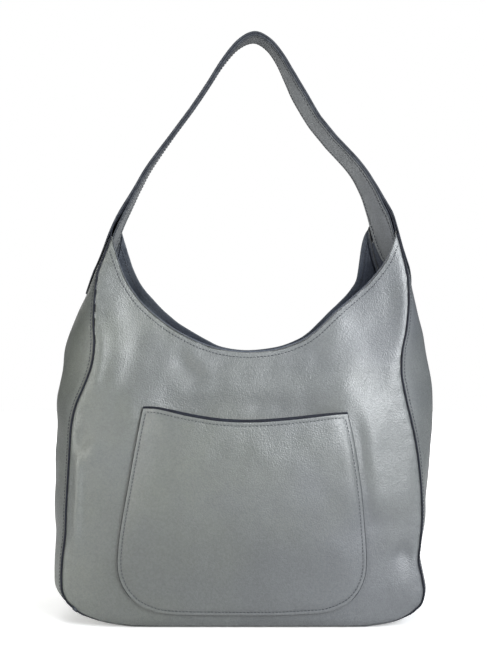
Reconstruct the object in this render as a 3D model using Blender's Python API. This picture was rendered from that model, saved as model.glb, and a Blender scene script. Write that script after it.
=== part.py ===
"""Slouchy leather hobo bag with a patch pocket and a shoulder strap, built from its cut pieces.

Metres. +Z is up, the front faces -Y and +X is to the right of someone looking at the front.
The origin is the middle of the flat underside. Every layer is a thin closed solid, and layers
that are sewn or glued together keep a clearance between them.
"""

import math

import bmesh
import bpy
from mathutils import Vector

# Stock thicknesses, and the clearances between layers that lie flat on each other and at a seam
GAP = 0.0003
SEAM_GAP = 0.0007
PANEL = 0.0018
GUSSET = 0.0016
BASE = 0.0020
FACING = 0.0012
CLOTH = 0.0006
STRAP_LAYER = 0.0017
POCKET = 0.0016

# Outline of the front and back panels, seen from the front
SEAM_LIFT = 0.0022
BASE_FLAT = 0.095
CORNER_RUN = 0.057
CORNER_RISE = 0.032
CORNER_SPLIT = math.radians(50)
CORNER_GAP = math.radians(3)
WING_TOP = 0.340
SIDE_SEAM = (
    (SEAM_LIFT + CORNER_RISE, BASE_FLAT + CORNER_RUN),
    (0.095, 0.151),
    (0.150, 0.147),
    (0.190, 0.139),
    (0.225, 0.1315),
    (0.250, 0.131),
    (0.287, 0.1315),
    (0.312, 0.1285),
    (WING_TOP, 0.1225),
)
LIP = ((0.0, 0.2345), (0.040, 0.2415), (0.074, 0.260), (0.098, 0.2835), (0.111, 0.304), (0.1165, 0.325))
LIP_END = (0.1175, WING_TOP)
LEAN = 0.0085
LEAN_FROM = 0.12

# Depth of the bag, as (height, half depth) at the side seams and the swell between them
SEAM_DEPTH = (
    (0.0, 0.048),
    (0.12, 0.048),
    (0.17, 0.047),
    (0.20, 0.045),
    (0.23, 0.042),
    (0.25, 0.039),
    (0.275, 0.034),
    (0.30, 0.0285),
    (0.32, 0.0245),
    (WING_TOP, 0.0205),
)
PANEL_PUFF = (
    (0.0, 0.0),
    (0.04, 0.006),
    (0.09, 0.010),
    (0.14, 0.009),
    (0.18, 0.005),
    (0.21, -0.004),
    (0.23, -0.009),
    (0.26, -0.010),
    (0.30, -0.007),
    (WING_TOP, 0.0),
)
GUSSET_BULGE = (
    (0.012, 0.001),
    (0.03, 0.005),
    (0.06, 0.009),
    (0.10, 0.012),
    (0.15, 0.017),
    (0.20, 0.0265),
    (0.235, 0.027),
    (0.26, 0.020),
    (0.285, 0.014),
    (0.312, 0.009),
    (WING_TOP, 0.0),
)
WELT_RADIUS = 0.0010
WELT_OFFSET = 0.0009

# Mouth facings, as fractions of the panel's height and width
FACING_FROM = 0.86
FACING_INSET = 0.07

# Inner bag
LINING_DEPTH = 0.034
LINING_HALF_WIDTH = 0.118
LINING_SIDE = 0.1195
LINING_FLOOR = 0.0060
LINING_BOTTOM = 0.0085
LINING_SIDE_TOP = 0.275
LINING_TOP = ((0.0, 0.2085), (0.040, 0.215), (0.074, 0.234), (0.098, 0.258), (LINING_HALF_WIDTH, 0.283))
LINING_TOP_FROM = 0.160
LINING_TOP_ROWS = 3
BOARD = (0.094, 0.044, 0.0020)

# Shoulder strap
STRAP_HALF_WIDTH = 0.018
STRAP_CORE_HALF_WIDTH = 0.015
HINGE_Z = 0.360
KNUCKLE_GAP = 0.0008
STRAP_RISE = (
    (0.1125, HINGE_Z),
    (0.104, 0.377),
    (0.0827, 0.4095),
    (0.0567, 0.4416),
    (0.0366, 0.474),
    (0.0245, 0.494),
    (0.0130, 0.508),
    (0.0, 0.5145),
)
STRAP_STATIONS = 34
STRAP_FIRST_STATION = 0.008
TAB_POINT = 0.283
TAB_SHOULDER = 0.303
TAB_POINT_HALF_WIDTH = 0.003
TAIL_END = 0.290
TAB_SLACK = 0.0009
TAB_SLACK_RUN = 0.02

# Patch pocket on the front
POCKET_HALF_BASE = 0.072
POCKET_CORNER = 0.034
POCKET_BOTTOM = 0.012
POCKET_SIDE = ((0.099, 0.120), (0.0865, 0.185))
POCKET_DIP = 0.176
POCKET_ROOM = 0.010
POCKET_RAMP = 0.35

# Closure tab and its magnetic snap
TAB_AXIS = (0.0310, 0.212)
TAB_LENGTH = 0.0545
TAB_HALF_WIDTH = 0.014
TAB_LEATHER = 0.0013
SNAP_RADIUS = 0.0085
SNAP_HEIGHT = 0.0024
SNAP_FROM_END = 0.0125
ANCHOR_HEIGHTS = (0.2145, 0.2255)

# Zipped pocket on the back lining
ZIP_Z = 0.125
ZIP_WINDOW = (0.066, 0.0050)
ZIP_FRAME = (0.073, 0.0110)
ZIP_TAPE = (0.070, 0.0125)
ZIP_TEETH_HALF_LENGTH = 0.062
ZIP_TEETH_SPAN = (0.0012, 0.0026)
ZIP_TOOTH_PITCH = 0.004
ZIP_TEETH_HEIGHT = 0.0024
ZIP_TRAVEL = 0.0575
ZIP_BAG = (0.068, 0.040, 0.150)
ZIP_BAG_DEPTH = (0.0392, 0.0452)

# Zip slider: its plates, web and bridge are given by their distance behind the bag's middle plane
SLIDER_HALF_LENGTH = 0.0045
SLIDER_HALF_HEIGHT = 0.0042
SLIDER_FRONT_PLATE = (0.0318, 0.0334)
SLIDER_BACK_PLATE = (0.0368, 0.0380)
SLIDER_WEB_HALF_HEIGHT = 0.0009
SLIDER_WEB_START = 0.0020
SLIDER_OVERLAP = 0.0004
BRIDGE_HALF_LENGTH = 0.0030
BRIDGE_FACE = 0.0288
BRIDGE_BAR = 0.0010
PULLER_AXIS = 0.0308
PULLER_BAR = 0.0005
PULLER_HALF_HEIGHT = 0.0030
PULLER_SLOT_HALF_HEIGHT = 0.0016
PULLER_SLOT_END = 0.0055
PULLER_GRIP = 0.003
PULLER_LENGTH = 0.028

LEATHER = ("grey_leather", (0.26, 0.285, 0.295), 0.42, 0.0)
EDGE = ("dark_edge", (0.020, 0.023, 0.032), 0.45, 0.0)
LINING = ("navy_lining", (0.030, 0.036, 0.055), 0.80, 0.0)
BOARD_MATERIAL = ("board", (0.25, 0.22, 0.18), 0.85, 0.0)
NICKEL = ("nickel", (0.62, 0.62, 0.60), 0.25, 1.0)


# ---- curves -----------------------------------------------------------------


def value_at(table, t):
    """The smooth curve through (t, value) rows, held at its first and last values past its ends."""
    if t <= table[0][0]:
        return table[0][1]
    if t >= table[-1][0]:
        return table[-1][1]
    last = len(table) - 1
    i = max(k for k in range(last) if table[k][0] <= t)

    def slope(k):
        before, after = table[max(k - 1, 0)], table[min(k + 1, last)]
        return (after[1] - before[1]) / (after[0] - before[0])

    step = table[i + 1][0] - table[i][0]
    s = (t - table[i][0]) / step
    return (
        table[i][1] * (1 + 2 * s) * (1 - s) ** 2
        + table[i + 1][1] * s * s * (3 - 2 * s)
        + step * s * (1 - s) * (slope(i) * (1 - s) - slope(i + 1) * s)
    )


def rounded(points, steps=12):
    """A smooth curve through points, as a polyline with steps lengths between each two of them."""
    points = [Vector(point) for point in points]
    padded = [2 * points[0] - points[1]] + points + [2 * points[-1] - points[-2]]
    curve = []
    for a, b, c, d in zip(padded, padded[1:], padded[2:], padded[3:]):
        for k in range(steps):
            s = k / steps
            bend = (2 * a - 5 * b + 4 * c - d) * s * s + (3 * b - a - 3 * c + d) * s**3
            curve.append(b + 0.5 * ((c - a) * s + bend))
    return curve + [points[-1]]


def travel(points):
    """A function giving the point at a fraction 0 to 1 of a polyline's length."""
    points = [Vector(point) for point in points]
    reached = [0.0]
    for a, b in zip(points, points[1:]):
        reached.append(reached[-1] + (b - a).length)

    def at(fraction):
        wanted = min(max(fraction, 0.0), 1.0) * reached[-1]
        i = max(k for k in range(len(points) - 1) if reached[k] <= wanted + 1e-12)
        return points[i].lerp(points[i + 1], (wanted - reached[i]) / (reached[i + 1] - reached[i]))

    return at


def patch(bottom, top, left, right):
    """A function of (u, v), each 0 to 1, that fills the outline between four edges (a Coons patch)."""

    def at(u, v):
        ruled = bottom(u).lerp(top(u), v) + left(v).lerp(right(v), u)
        return ruled - bottom(0).lerp(bottom(1), u).lerp(top(0).lerp(top(1), u), v)

    return at


def mirrored(points):
    """The whole symmetric edge from its right half, which runs outwards from the middle."""
    return [(-x, z) for x, z in reversed(points[1:])] + list(points)


def steps(low, high, count):
    return [low + (high - low) * k / count for k in range(count + 1)]


# ---- the bag's own shape ----------------------------------------------------


def corner(angle, lift=SEAM_LIFT):
    """A point of the rounded bottom corner: 0 is the end of the flat base, 90 degrees is the side."""
    return (BASE_FLAT + CORNER_RUN * math.sin(angle), lift + CORNER_RISE * (1 - math.cos(angle)))


def half_width(z):
    """Half the distance between the side seams at height z."""
    rise = (z - SEAM_LIFT) / CORNER_RISE
    if rise < 1:
        return BASE_FLAT + CORNER_RUN * math.sqrt(max(0.0, 1 - (1 - max(rise, 0.0)) ** 2))
    return value_at(SIDE_SEAM, z)


def panel_depth(x, z):
    """Distance from the bag's middle plane to the outer face of the front or back panel."""
    across = min(1.0, abs(x) / half_width(z))
    return value_at(SEAM_DEPTH, z) + value_at(PANEL_PUFF, z) * (1 - across**2)


def gusset_face(y, z):
    """Distance from the bag's middle to the outer face of a gusset."""
    across = min(1.0, abs(y) / (value_at(SEAM_DEPTH, z) - PANEL - SEAM_GAP))
    return half_width(z) + value_at(GUSSET_BULGE, z) * (1 - across**2)


def leaning(point):
    """The upper part of the bag and its strap stand a little to the right of its base."""
    x, y, z = point
    t = min(max((z - LEAN_FROM) / (WING_TOP - LEAN_FROM), 0.0), 1.0)
    return Vector((x + LEAN * t * t * (3 - 2 * t), y, z))


def side_edge():
    """The side seam from the split in the bottom corner up to the wing tip."""
    angles = steps(CORNER_SPLIT, math.radians(90), 8)
    heights = steps(SEAM_LIFT + CORNER_RISE, WING_TOP, 60)
    return [corner(angle) for angle in angles] + [(half_width(z), z) for z in heights[1:]]


def bottom_half(split=CORNER_SPLIT, lift=SEAM_LIFT):
    return [(0.0, lift), (BASE_FLAT, lift)] + [corner(angle, lift) for angle in steps(0.0, split, 10)[1:]]


def lip_half():
    curve = rounded(LIP + (LIP_END,))
    return [tuple(point) for point in curve] + [(half_width(WING_TOP), WING_TOP)]


SIDE = side_edge()
PANEL_PATCH = patch(
    travel(mirrored(bottom_half())),
    travel(mirrored(lip_half())),
    travel([(-x, z) for x, z in SIDE]),
    travel(SIDE),
)
FACING_US = steps(FACING_INSET, 1 - FACING_INSET, 18)
FACING_VS = steps(FACING_FROM, 1.0, 3)


# ---- building blocks --------------------------------------------------------


def material(look):
    name, colour, roughness, metallic = look
    made = bpy.data.materials.get(name) or bpy.data.materials.new(name)
    made.use_nodes = True
    shader = made.node_tree.nodes["Principled BSDF"]
    shader.inputs["Base Color"].default_value = (*colour, 1.0)
    shader.inputs["Roughness"].default_value = roughness
    shader.inputs["Metallic"].default_value = metallic
    made.diffuse_color = (*colour, 1.0)
    return made


def add(name, points, faces, look, origin=(0.0, 0.0, 0.0)):
    """An object of these points and faces, with its origin at a place that matters, such as a hinge."""
    origin = Vector(origin)
    mesh = bpy.data.meshes.new(name)
    mesh.from_pydata([Vector(point) - origin for point in points], [], faces)
    shape = bmesh.new()
    shape.from_mesh(mesh)
    bmesh.ops.recalc_face_normals(shape, faces=shape.faces)
    shape.to_mesh(mesh)
    shape.free()
    mesh.shade_smooth()
    mesh.set_sharp_from_angle(angle=math.radians(40))
    mesh.materials.append(material(look))
    thing = bpy.data.objects.new(name, mesh)
    thing.location = origin
    bpy.context.scene.collection.objects.link(thing)
    return thing


def layer(name, face, back, look, holes=(), origin=(0.0, 0.0, 0.0)):
    """A closed sheet between two equal grids of points, with walls round its rim and its holes."""
    rows, columns = len(face), len(face[0])
    points = [leaning(p) for row in face for p in row] + [leaning(p) for row in back for p in row]
    under = rows * columns
    cells = [(i, j) for i in range(rows - 1) for j in range(columns - 1) if (i, j) not in holes]
    faces = []
    edges = {}
    for i, j in cells:
        a = i * columns + j
        quad = (a, a + 1, a + columns + 1, a + columns)
        # The same diagonal on both sides keeps neighbouring layers exactly parallel.
        for triangle in (quad[:3], (quad[0], quad[2], quad[3])):
            faces.append(triangle)
            faces.append(tuple(under + k for k in reversed(triangle)))
        for start, end in zip(quad, quad[1:] + quad[:1]):
            edges.setdefault(frozenset((start, end)), []).append((start, end))
    for sides in edges.values():
        if len(sides) == 1:
            start, end = sides[0]
            faces.append((end, start, under + start, under + end))
    return add(name, points, faces, look, origin)


def block(name, low, high, look, holes=(), cuts=((), (), ()), flat=1, origin=(0.0, 0.0, 0.0)):
    """A box between two corners. Across its flat axis (0, 1 or 2) it may have rectangular holes."""
    first, second = [axis for axis in range(3) if axis != flat]
    grids = [sorted({low[axis], high[axis], *cuts[axis]}) for axis in range(3)]
    levels = []
    for depth in (low[flat], high[flat]):
        level = []
        for b in grids[second]:
            row = []
            for a in grids[first]:
                point = [0.0, 0.0, 0.0]
                point[first], point[second], point[flat] = a, b, depth
                row.append(tuple(point))
            level.append(row)
        levels.append(level)
    return layer(name, levels[0], levels[1], look, holes, origin)


def tube(name, path, radius, look, sides=6):
    """A closed round tube along a path of 3-D points that lies nearly in a plane facing Y."""
    points, faces = [], []
    for i, centre in enumerate(path):
        ahead, behind = path[min(i + 1, len(path) - 1)], path[max(i - 1, 0)]
        along = (ahead - behind).normalized()
        side = along.cross(Vector((0.0, 1.0, 0.0))).normalized()
        up = side.cross(along)
        for k in range(sides):
            angle = 2 * math.pi * k / sides
            points.append(centre + radius * (math.cos(angle) * side + math.sin(angle) * up))
    for i in range(len(path) - 1):
        for k in range(sides):
            a, b = i * sides + k, i * sides + (k + 1) % sides
            faces.append((a, b, b + sides, a + sides))
    faces.append(tuple(range(sides)))
    faces.append(tuple(len(points) - sides + k for k in range(sides)))
    return add(name, points, faces, look)


def turned(name, profile, centre, axis_y, look, sides=20, origin=None):
    """A solid turned about a line along Y: profile holds (radius, distance along axis_y * Y) rows."""
    points, faces = [], []
    for radius, out in profile:
        for k in range(sides):
            angle = 2 * math.pi * k / sides
            offset = Vector((radius * math.cos(angle), axis_y * out, radius * math.sin(angle)))
            points.append(leaning(Vector(centre) + offset))
    for i in range(len(profile) - 1):
        for k in range(sides):
            a, b = i * sides + k, i * sides + (k + 1) % sides
            faces.append((a, b, b + sides, a + sides))
    faces.append(tuple(range(sides)))
    faces.append(tuple(len(points) - sides + k for k in range(sides)))
    return add(name, points, faces, look, origin or (0.0, 0.0, 0.0))


# ---- shell of the bag -------------------------------------------------------


def panel_grid(us, vs, inset, side):
    """Points at a distance inside the outer face of the front (side -1) or back (side 1) panel."""
    grid = []
    for v in vs:
        row = []
        for u in us:
            x, z = PANEL_PATCH(u, v)
            row.append((x, side * (panel_depth(x, z) - inset), z))
        grid.append(row)
    return grid


def panels():
    us = [0.0] + FACING_US + [1.0]
    vs = steps(0.0, FACING_FROM, 13)[:-1] + FACING_VS
    for name, side in (("front_panel", -1), ("back_panel", 1)):
        layer(name, panel_grid(us, vs, 0.0, side), panel_grid(us, vs, PANEL, side), LEATHER)


def facings():
    outer = PANEL + GAP
    for name, side in (("facing_front", -1), ("facing_back", 1)):
        face = panel_grid(FACING_US, FACING_VS, outer, side)
        layer(name, face, panel_grid(FACING_US, FACING_VS, outer + FACING, side), LEATHER)


def gussets():
    bottom = corner(CORNER_SPLIT + CORNER_GAP)[1]
    heights = steps(bottom, SEAM_LIFT + CORNER_RISE, 3)[:-1] + steps(SEAM_LIFT + CORNER_RISE, WING_TOP, 20)
    for name, side in (("gusset_left", -1), ("gusset_right", 1)):
        face, back = [], []
        for z in heights:
            reach = value_at(SEAM_DEPTH, z) - PANEL - SEAM_GAP
            ys = steps(-reach, reach, 8)
            face.append([(side * gusset_face(y, z), y, z) for y in ys])
            back.append([(side * (gusset_face(y, z) - GUSSET), y, z) for y in ys])
        layer(name, face, back, LEATHER)


def base():
    reach = value_at(SEAM_DEPTH, 0.0) - PANEL - SEAM_GAP
    edge = mirrored(bottom_half(CORNER_SPLIT - CORNER_GAP, lift=0.0))
    face = [[(x, y, z) for x, z in edge] for y in steps(-reach, reach, 2)]
    back = [[(x, y, z + BASE) for x, z in edge] for y in steps(-reach, reach, 2)]
    layer("base_panel", face, back, LEATHER)
    board_x, board_y, board_z = BOARD
    low = BASE + GAP
    block("base_board", (-board_x, -board_y, low), (board_x, board_y, low + board_z), BOARD_MATERIAL, flat=2)


def welts():
    """The dark piping in the corner between each panel and the gussets and base."""
    right = bottom_half()[1:] + SIDE[1:]
    seam = travel(mirrored([(0.0, SEAM_LIFT)] + right))
    count = 64
    for name, side in (("seam_welt_front", -1), ("seam_welt_back", 1)):
        path = []
        for fraction in steps(0.003, 0.997, count):
            x, z = seam(fraction)
            along = (seam(fraction + 0.002) - seam(fraction - 0.002)).normalized()
            depth = value_at(SEAM_DEPTH, z) + WELT_OFFSET
            outward = Vector((along.y, -along.x)) * WELT_OFFSET
            path.append(leaning((x + outward.x, side * depth, z + outward.y)))
        tube(name, path, WELT_RADIUS, EDGE)


# ---- patch pocket -----------------------------------------------------------


def pocket_patch():
    arc_centre = (POCKET_HALF_BASE, POCKET_BOTTOM + POCKET_CORNER)

    def arc(angle):
        return (
            arc_centre[0] + POCKET_CORNER * math.sin(angle),
            arc_centre[1] - POCKET_CORNER * math.cos(angle),
        )

    quarter, half = math.radians(90), math.radians(45)
    bottom = [(0.0, POCKET_BOTTOM), (POCKET_HALF_BASE, POCKET_BOTTOM)]
    bottom += [arc(angle) for angle in steps(0.0, half, 6)[1:]]
    side = [arc(angle) for angle in steps(half, quarter, 6)[:-1]]
    side += [tuple(point) for point in rounded((arc(quarter),) + POCKET_SIDE)]
    top_x, top_z = POCKET_SIDE[-1]
    top = [(x, POCKET_DIP + (top_z - POCKET_DIP) * (x / top_x) ** 2) for x in steps(0.0, top_x, 12)]
    return patch(
        travel(mirrored(bottom)),
        travel(mirrored(top)),
        travel([(-x, z) for x, z in side]),
        travel(side),
    )


def pocket():
    """The pocket stands off the front panel by its lining at its sewn edge, and by its room inside."""
    outline = pocket_patch()

    def grid(us, vs, stand_off):
        rows = []
        for v in vs:
            ramp = min(1.0, v / POCKET_RAMP)
            row = []
            for u in us:
                x, z = outline(u, v)
                room = POCKET_ROOM * (1 - (2 * u - 1) ** 2) * ramp * ramp * (3 - 2 * ramp)
                row.append((x, -(panel_depth(x, z) + stand_off + room), z))
            rows.append(row)
        return rows

    inside = GAP + CLOTH + GAP
    us, vs = steps(0.0, 1.0, 12), steps(0.0, 1.0, 10)
    layer("front_pocket", grid(us, vs, inside + POCKET), grid(us, vs, inside), LEATHER)
    us, vs = us[1:-1], vs[1:-1]
    layer("front_pocket_lining", grid(us, vs, GAP + CLOTH), grid(us, vs, GAP), LINING)


# ---- inner bag --------------------------------------------------------------


def lining_depth(x, z):
    """The lining hangs straight down, and lies against the facing where the mouth is narrower."""
    return min(LINING_DEPTH, panel_depth(x, z) - PANEL - GAP - FACING - SEAM_GAP - CLOTH)


def lining_fronts():
    """Front and back linings. The back one has a window for its zip."""
    window_x, window_z = ZIP_WINDOW
    xs = sorted(steps(-LINING_HALF_WIDTH, LINING_HALF_WIDTH, 12) + [-window_x, window_x])
    fixed = [LINING_BOTTOM, ZIP_Z / 2, ZIP_Z - window_z, ZIP_Z + window_z, LINING_TOP_FROM]
    for name, side in (("lining_front", -1), ("lining_back", 1)):
        face, back = [], []
        for k in range(len(fixed) + LINING_TOP_ROWS):
            low, high = [], []
            above = max(0, k + 1 - len(fixed)) / LINING_TOP_ROWS
            for x in xs:
                top = value_at(LINING_TOP, abs(x))
                z = fixed[min(k, len(fixed) - 1)] + (top - LINING_TOP_FROM) * above
                depth = lining_depth(x, z)
                low.append((x, side * depth, z))
                high.append((x, side * (depth + CLOTH), z))
            face.append(low)
            back.append(high)
        window = xs.index(-window_x), xs.index(window_x)
        holes = {(2, j) for j in range(*window)} if side > 0 else ()
        layer(name, face, back, LINING, holes)


def lining_sides():
    for name, side in (("lining_left", -1), ("lining_right", 1)):
        face, back = [], []
        for z in steps(LINING_BOTTOM, LINING_SIDE_TOP, 6):
            reach = lining_depth(LINING_SIDE, z) - SEAM_GAP
            ys = steps(-reach, reach, 2)
            face.append([(side * LINING_SIDE, y, z) for y in ys])
            back.append([(side * (LINING_SIDE + CLOTH), y, z) for y in ys])
        layer(name, face, back, LINING)
    reach = LINING_DEPTH - SEAM_GAP
    low = (-LINING_HALF_WIDTH, -reach, LINING_FLOOR)
    high = (LINING_HALF_WIDTH, reach, LINING_FLOOR + CLOTH)
    block("lining_base", low, high, LINING, flat=2)


# ---- shoulder strap ---------------------------------------------------------


def strap_side(height):
    """Distance from the middle to the strap's centre line between the wing tip and the hinge."""
    start = half_width(WING_TOP) - GUSSET / 2
    t = (height - WING_TOP) / (HINGE_Z - WING_TOP)
    return start + (STRAP_RISE[0][0] - start) * t


def strap_columns(half):
    """Places across the strap, closer together towards its edges, to suit a round end."""
    return [half * math.sin(math.radians(angle)) for angle in range(-90, 91, 15)]


def strap():
    """The loop above the hinge line. Its ends are half discs about the hinge, so that they can turn."""
    rise = [Vector(point) for point in rounded(STRAP_RISE, 6)]
    loop = travel([(-x, z) for x, z in rise] + [(x, z) for x, z in reversed(rise[:-1])])
    stations = steps(STRAP_FIRST_STATION, 1 - STRAP_FIRST_STATION, STRAP_STATIONS)
    nearby = STRAP_FIRST_STATION / 2
    inner = GUSSET / 2 + GAP
    outer = inner + STRAP_LAYER
    layers = (
        ("strap_outer", STRAP_HALF_WIDTH, inner, outer, LEATHER),
        ("strap_core", STRAP_CORE_HALF_WIDTH, -GUSSET / 2, GUSSET / 2, BOARD_MATERIAL),
        ("strap_inner", STRAP_HALF_WIDTH, -outer, -inner, LEATHER),
    )
    for name, half, low, high, look in layers:
        ys = strap_columns(half)
        face, back = [], []
        for side, fraction in [(-1, 0.0)] + [(0, f) for f in stations] + [(1, 1.0)]:
            face_row, back_row = [], []
            for y in ys:
                if side:
                    z = HINGE_Z - math.sqrt(max(half * half - y * y, 0.0))
                    centre = Vector((side * strap_side(z), z))
                    normal = Vector((side, 0.0))
                else:
                    centre = loop(fraction)
                    along = (loop(fraction + nearby) - loop(fraction - nearby)).normalized()
                    normal = Vector((-along.y, along.x))
                for row, offset in ((face_row, high), (back_row, low)):
                    place = centre + normal * offset
                    row.append((place.x, y, place.y))
            face.append(face_row)
            back.append(back_row)
        layer(name, face, back, look, origin=leaning((0.0, 0.0, HINGE_Z)))


def strap_ends():
    """Sewn ends of the strap: a pointed tab outside each gusset and a plain tail inside it."""
    inner = GUSSET / 2 + GAP
    for side, word in ((-1, "left"), (1, "right")):
        for outside in (True, False):
            low_end = TAB_POINT if outside else TAIL_END
            heights = steps(low_end, WING_TOP, 7)
            face, back = [], []
            for z in heights + ["top"]:
                face_row, back_row = [], []
                for column in strap_columns(1.0):
                    if z == "top":
                        y = column * STRAP_HALF_WIDTH
                        reach = STRAP_HALF_WIDTH + KNUCKLE_GAP
                        height = HINGE_Z - math.sqrt(reach * reach - y * y)
                        near = strap_side(height)
                        near += inner if outside else -inner
                    else:
                        narrow = min(1.0, (z - TAB_POINT) / (TAB_SHOULDER - TAB_POINT)) if outside else 1.0
                        half = TAB_POINT_HALF_WIDTH * (1 - narrow) + STRAP_HALF_WIDTH * narrow
                        y = column * half
                        height = z
                        spare = GAP + TAB_SLACK * min(1.0, (WING_TOP - z) / TAB_SLACK_RUN)
                        near = gusset_face(y, z) + (spare if outside else -GUSSET - spare)
                    far = near + (STRAP_LAYER if outside else -STRAP_LAYER)
                    face_row.append((side * far, y, height))
                    back_row.append((side * near, y, height))
                face.append(face_row)
                back.append(back_row)
            layer(f"strap_{'tab' if outside else 'tail'}_{word}", face, back, LEATHER)


# ---- closure tab and snap ---------------------------------------------------


def tab_outline():
    """Closure tab seen from the front, hanging from z = 0: straight sides and a rounded lower end."""
    round_start = -TAB_LENGTH + TAB_HALF_WIDTH
    rows = [(0.0, TAB_HALF_WIDTH), (round_start / 2, TAB_HALF_WIDTH), (round_start, TAB_HALF_WIDTH)]
    for angle in (20, 40, 60, 76):
        turn = math.radians(angle)
        rows.append((round_start - TAB_HALF_WIDTH * math.sin(turn), TAB_HALF_WIDTH * math.cos(turn)))
    return rows


def closure():
    """A tab that hangs inside the mouth from the back facing, with the two halves of its snap."""
    axis_y, axis_z = TAB_AXIS
    hinge = leaning((0.0, axis_y, axis_z))
    thickness = 2 * TAB_LEATHER + GAP
    for name, near in (("closure_tab", -thickness / 2), ("closure_tab_backing", GAP / 2)):
        face, back = [], []
        for drop, half in tab_outline():
            xs = steps(-half, half, 4)
            face.append([(x, axis_y + near, axis_z + drop) for x in xs])
            back.append([(x, axis_y + near + TAB_LEATHER, axis_z + drop) for x in xs])
        layer(name, face, back, LEATHER, origin=hinge)
    low, high = ANCHOR_HEIGHTS
    face, back = [], []
    for z in steps(low, high, 2):
        xs = steps(-TAB_HALF_WIDTH, TAB_HALF_WIDTH, 4)
        row = [(x, panel_depth(x, z) - PANEL - GAP - FACING - GAP, z) for x in xs]
        back.append(row)
        face.append([(x, y - TAB_LEATHER, z) for x, y, z in row])
    layer("closure_tab_anchor", face, back, LEATHER)
    socket_y = axis_y - thickness / 2 - GAP
    socket_z = axis_z - TAB_LENGTH + SNAP_FROM_END
    rim, boss = SNAP_RADIUS, SNAP_RADIUS * 0.45
    profile = ((rim, 0.0), (rim, SNAP_HEIGHT * 0.7), (rim * 0.88, SNAP_HEIGHT))
    dish = ((boss, SNAP_HEIGHT), (boss * 0.9, SNAP_HEIGHT * 0.45))
    turned("snap_socket", profile + dish, (0.0, socket_y, socket_z), -1, NICKEL, origin=hinge)
    stud_z = axis_z + 0.001
    stud_y = -(panel_depth(0.0, stud_z - SNAP_RADIUS) - PANEL - GAP - FACING - GAP)
    stud_y = max(stud_y, -(panel_depth(0.0, stud_z + SNAP_RADIUS) - PANEL - GAP - FACING - GAP))
    knob = ((boss * 0.8, SNAP_HEIGHT * 0.6), (boss * 0.7, SNAP_HEIGHT))
    plate = ((rim, 0.0), (rim, SNAP_HEIGHT * 0.4), (rim * 0.88, SNAP_HEIGHT * 0.6))
    turned("snap_stud", plate + knob, (0.0, stud_y, stud_z), 1, NICKEL)


# ---- zipped pocket ----------------------------------------------------------


def toothed(name, direction):
    """One side of the zip: a bar with a tooth at each pitch, pointing at the other side."""
    near, far = ZIP_TEETH_SPAN
    root = near + 0.45 * (far - near)
    edge = []
    count = int(2 * ZIP_TEETH_HALF_LENGTH / ZIP_TOOTH_PITCH)
    for k in range(count):
        start = -ZIP_TEETH_HALF_LENGTH + k * ZIP_TOOTH_PITCH
        for part, z in ((0.0, near), (0.5, near), (0.5, root), (1.0, root)):
            edge.append((start + part * ZIP_TOOTH_PITCH, z))
    outline = edge + [(ZIP_TEETH_HALF_LENGTH, far), (-ZIP_TEETH_HALF_LENGTH, far)]
    middle = LINING_DEPTH + CLOTH / 2 + GAP + CLOTH
    low, high = middle - ZIP_TEETH_HEIGHT / 2, middle + ZIP_TEETH_HEIGHT / 2
    points = [leaning((x, y, ZIP_Z + direction * z)) for y in (low, high) for x, z in outline]
    total = len(outline)
    faces = [tuple(range(total)), tuple(total + k for k in range(total))]
    faces += [(k, (k + 1) % total, total + (k + 1) % total, total + k) for k in range(total)]
    add(name, points, faces, NICKEL)


def zip_pocket():
    window_x, window_z = ZIP_WINDOW
    frame_x, frame_z = ZIP_FRAME
    front = LINING_DEPTH - GAP
    cuts = ((-window_x, window_x), (), (ZIP_Z - window_z, ZIP_Z + window_z))
    low = (-frame_x, front - FACING, ZIP_Z - frame_z)
    high = (frame_x, front, ZIP_Z + frame_z)
    block("zip_frame", low, high, LEATHER, holes={(1, 1)}, cuts=cuts)
    behind = LINING_DEPTH + CLOTH + GAP
    tape_x, tape_z = ZIP_TAPE
    inner = ZIP_TEETH_SPAN[1] + GAP
    for name, low_z, high_z in (("zip_tape_upper", inner, tape_z), ("zip_tape_lower", -tape_z, -inner)):
        block(name, (-tape_x, behind, ZIP_Z + low_z), (tape_x, behind + CLOTH, ZIP_Z + high_z), LINING)
    toothed("zip_teeth_upper", 1)
    toothed("zip_teeth_lower", -1)
    bag_x, bag_low, bag_high = ZIP_BAG
    near, far = ZIP_BAG_DEPTH
    bag = block("zip_pocket_bag", (-bag_x, near, bag_low), (bag_x, far, bag_high), LINING, flat=2)
    open_box(bag, bag_high)
    slider()


def open_box(box, top):
    """Takes the top off a box and gives its walls a thickness."""
    shape = bmesh.new()
    shape.from_mesh(box.data)
    lid = [face for face in shape.faces if face.calc_center_median().z > top - CLOTH / 2]
    bmesh.ops.delete(shape, geom=lid, context="FACES")
    shape.to_mesh(box.data)
    shape.free()
    wall = box.modifiers.new("wall", "SOLIDIFY")
    wall.thickness = CLOTH
    wall.offset = -1
    wall.use_even_offset = True


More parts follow.
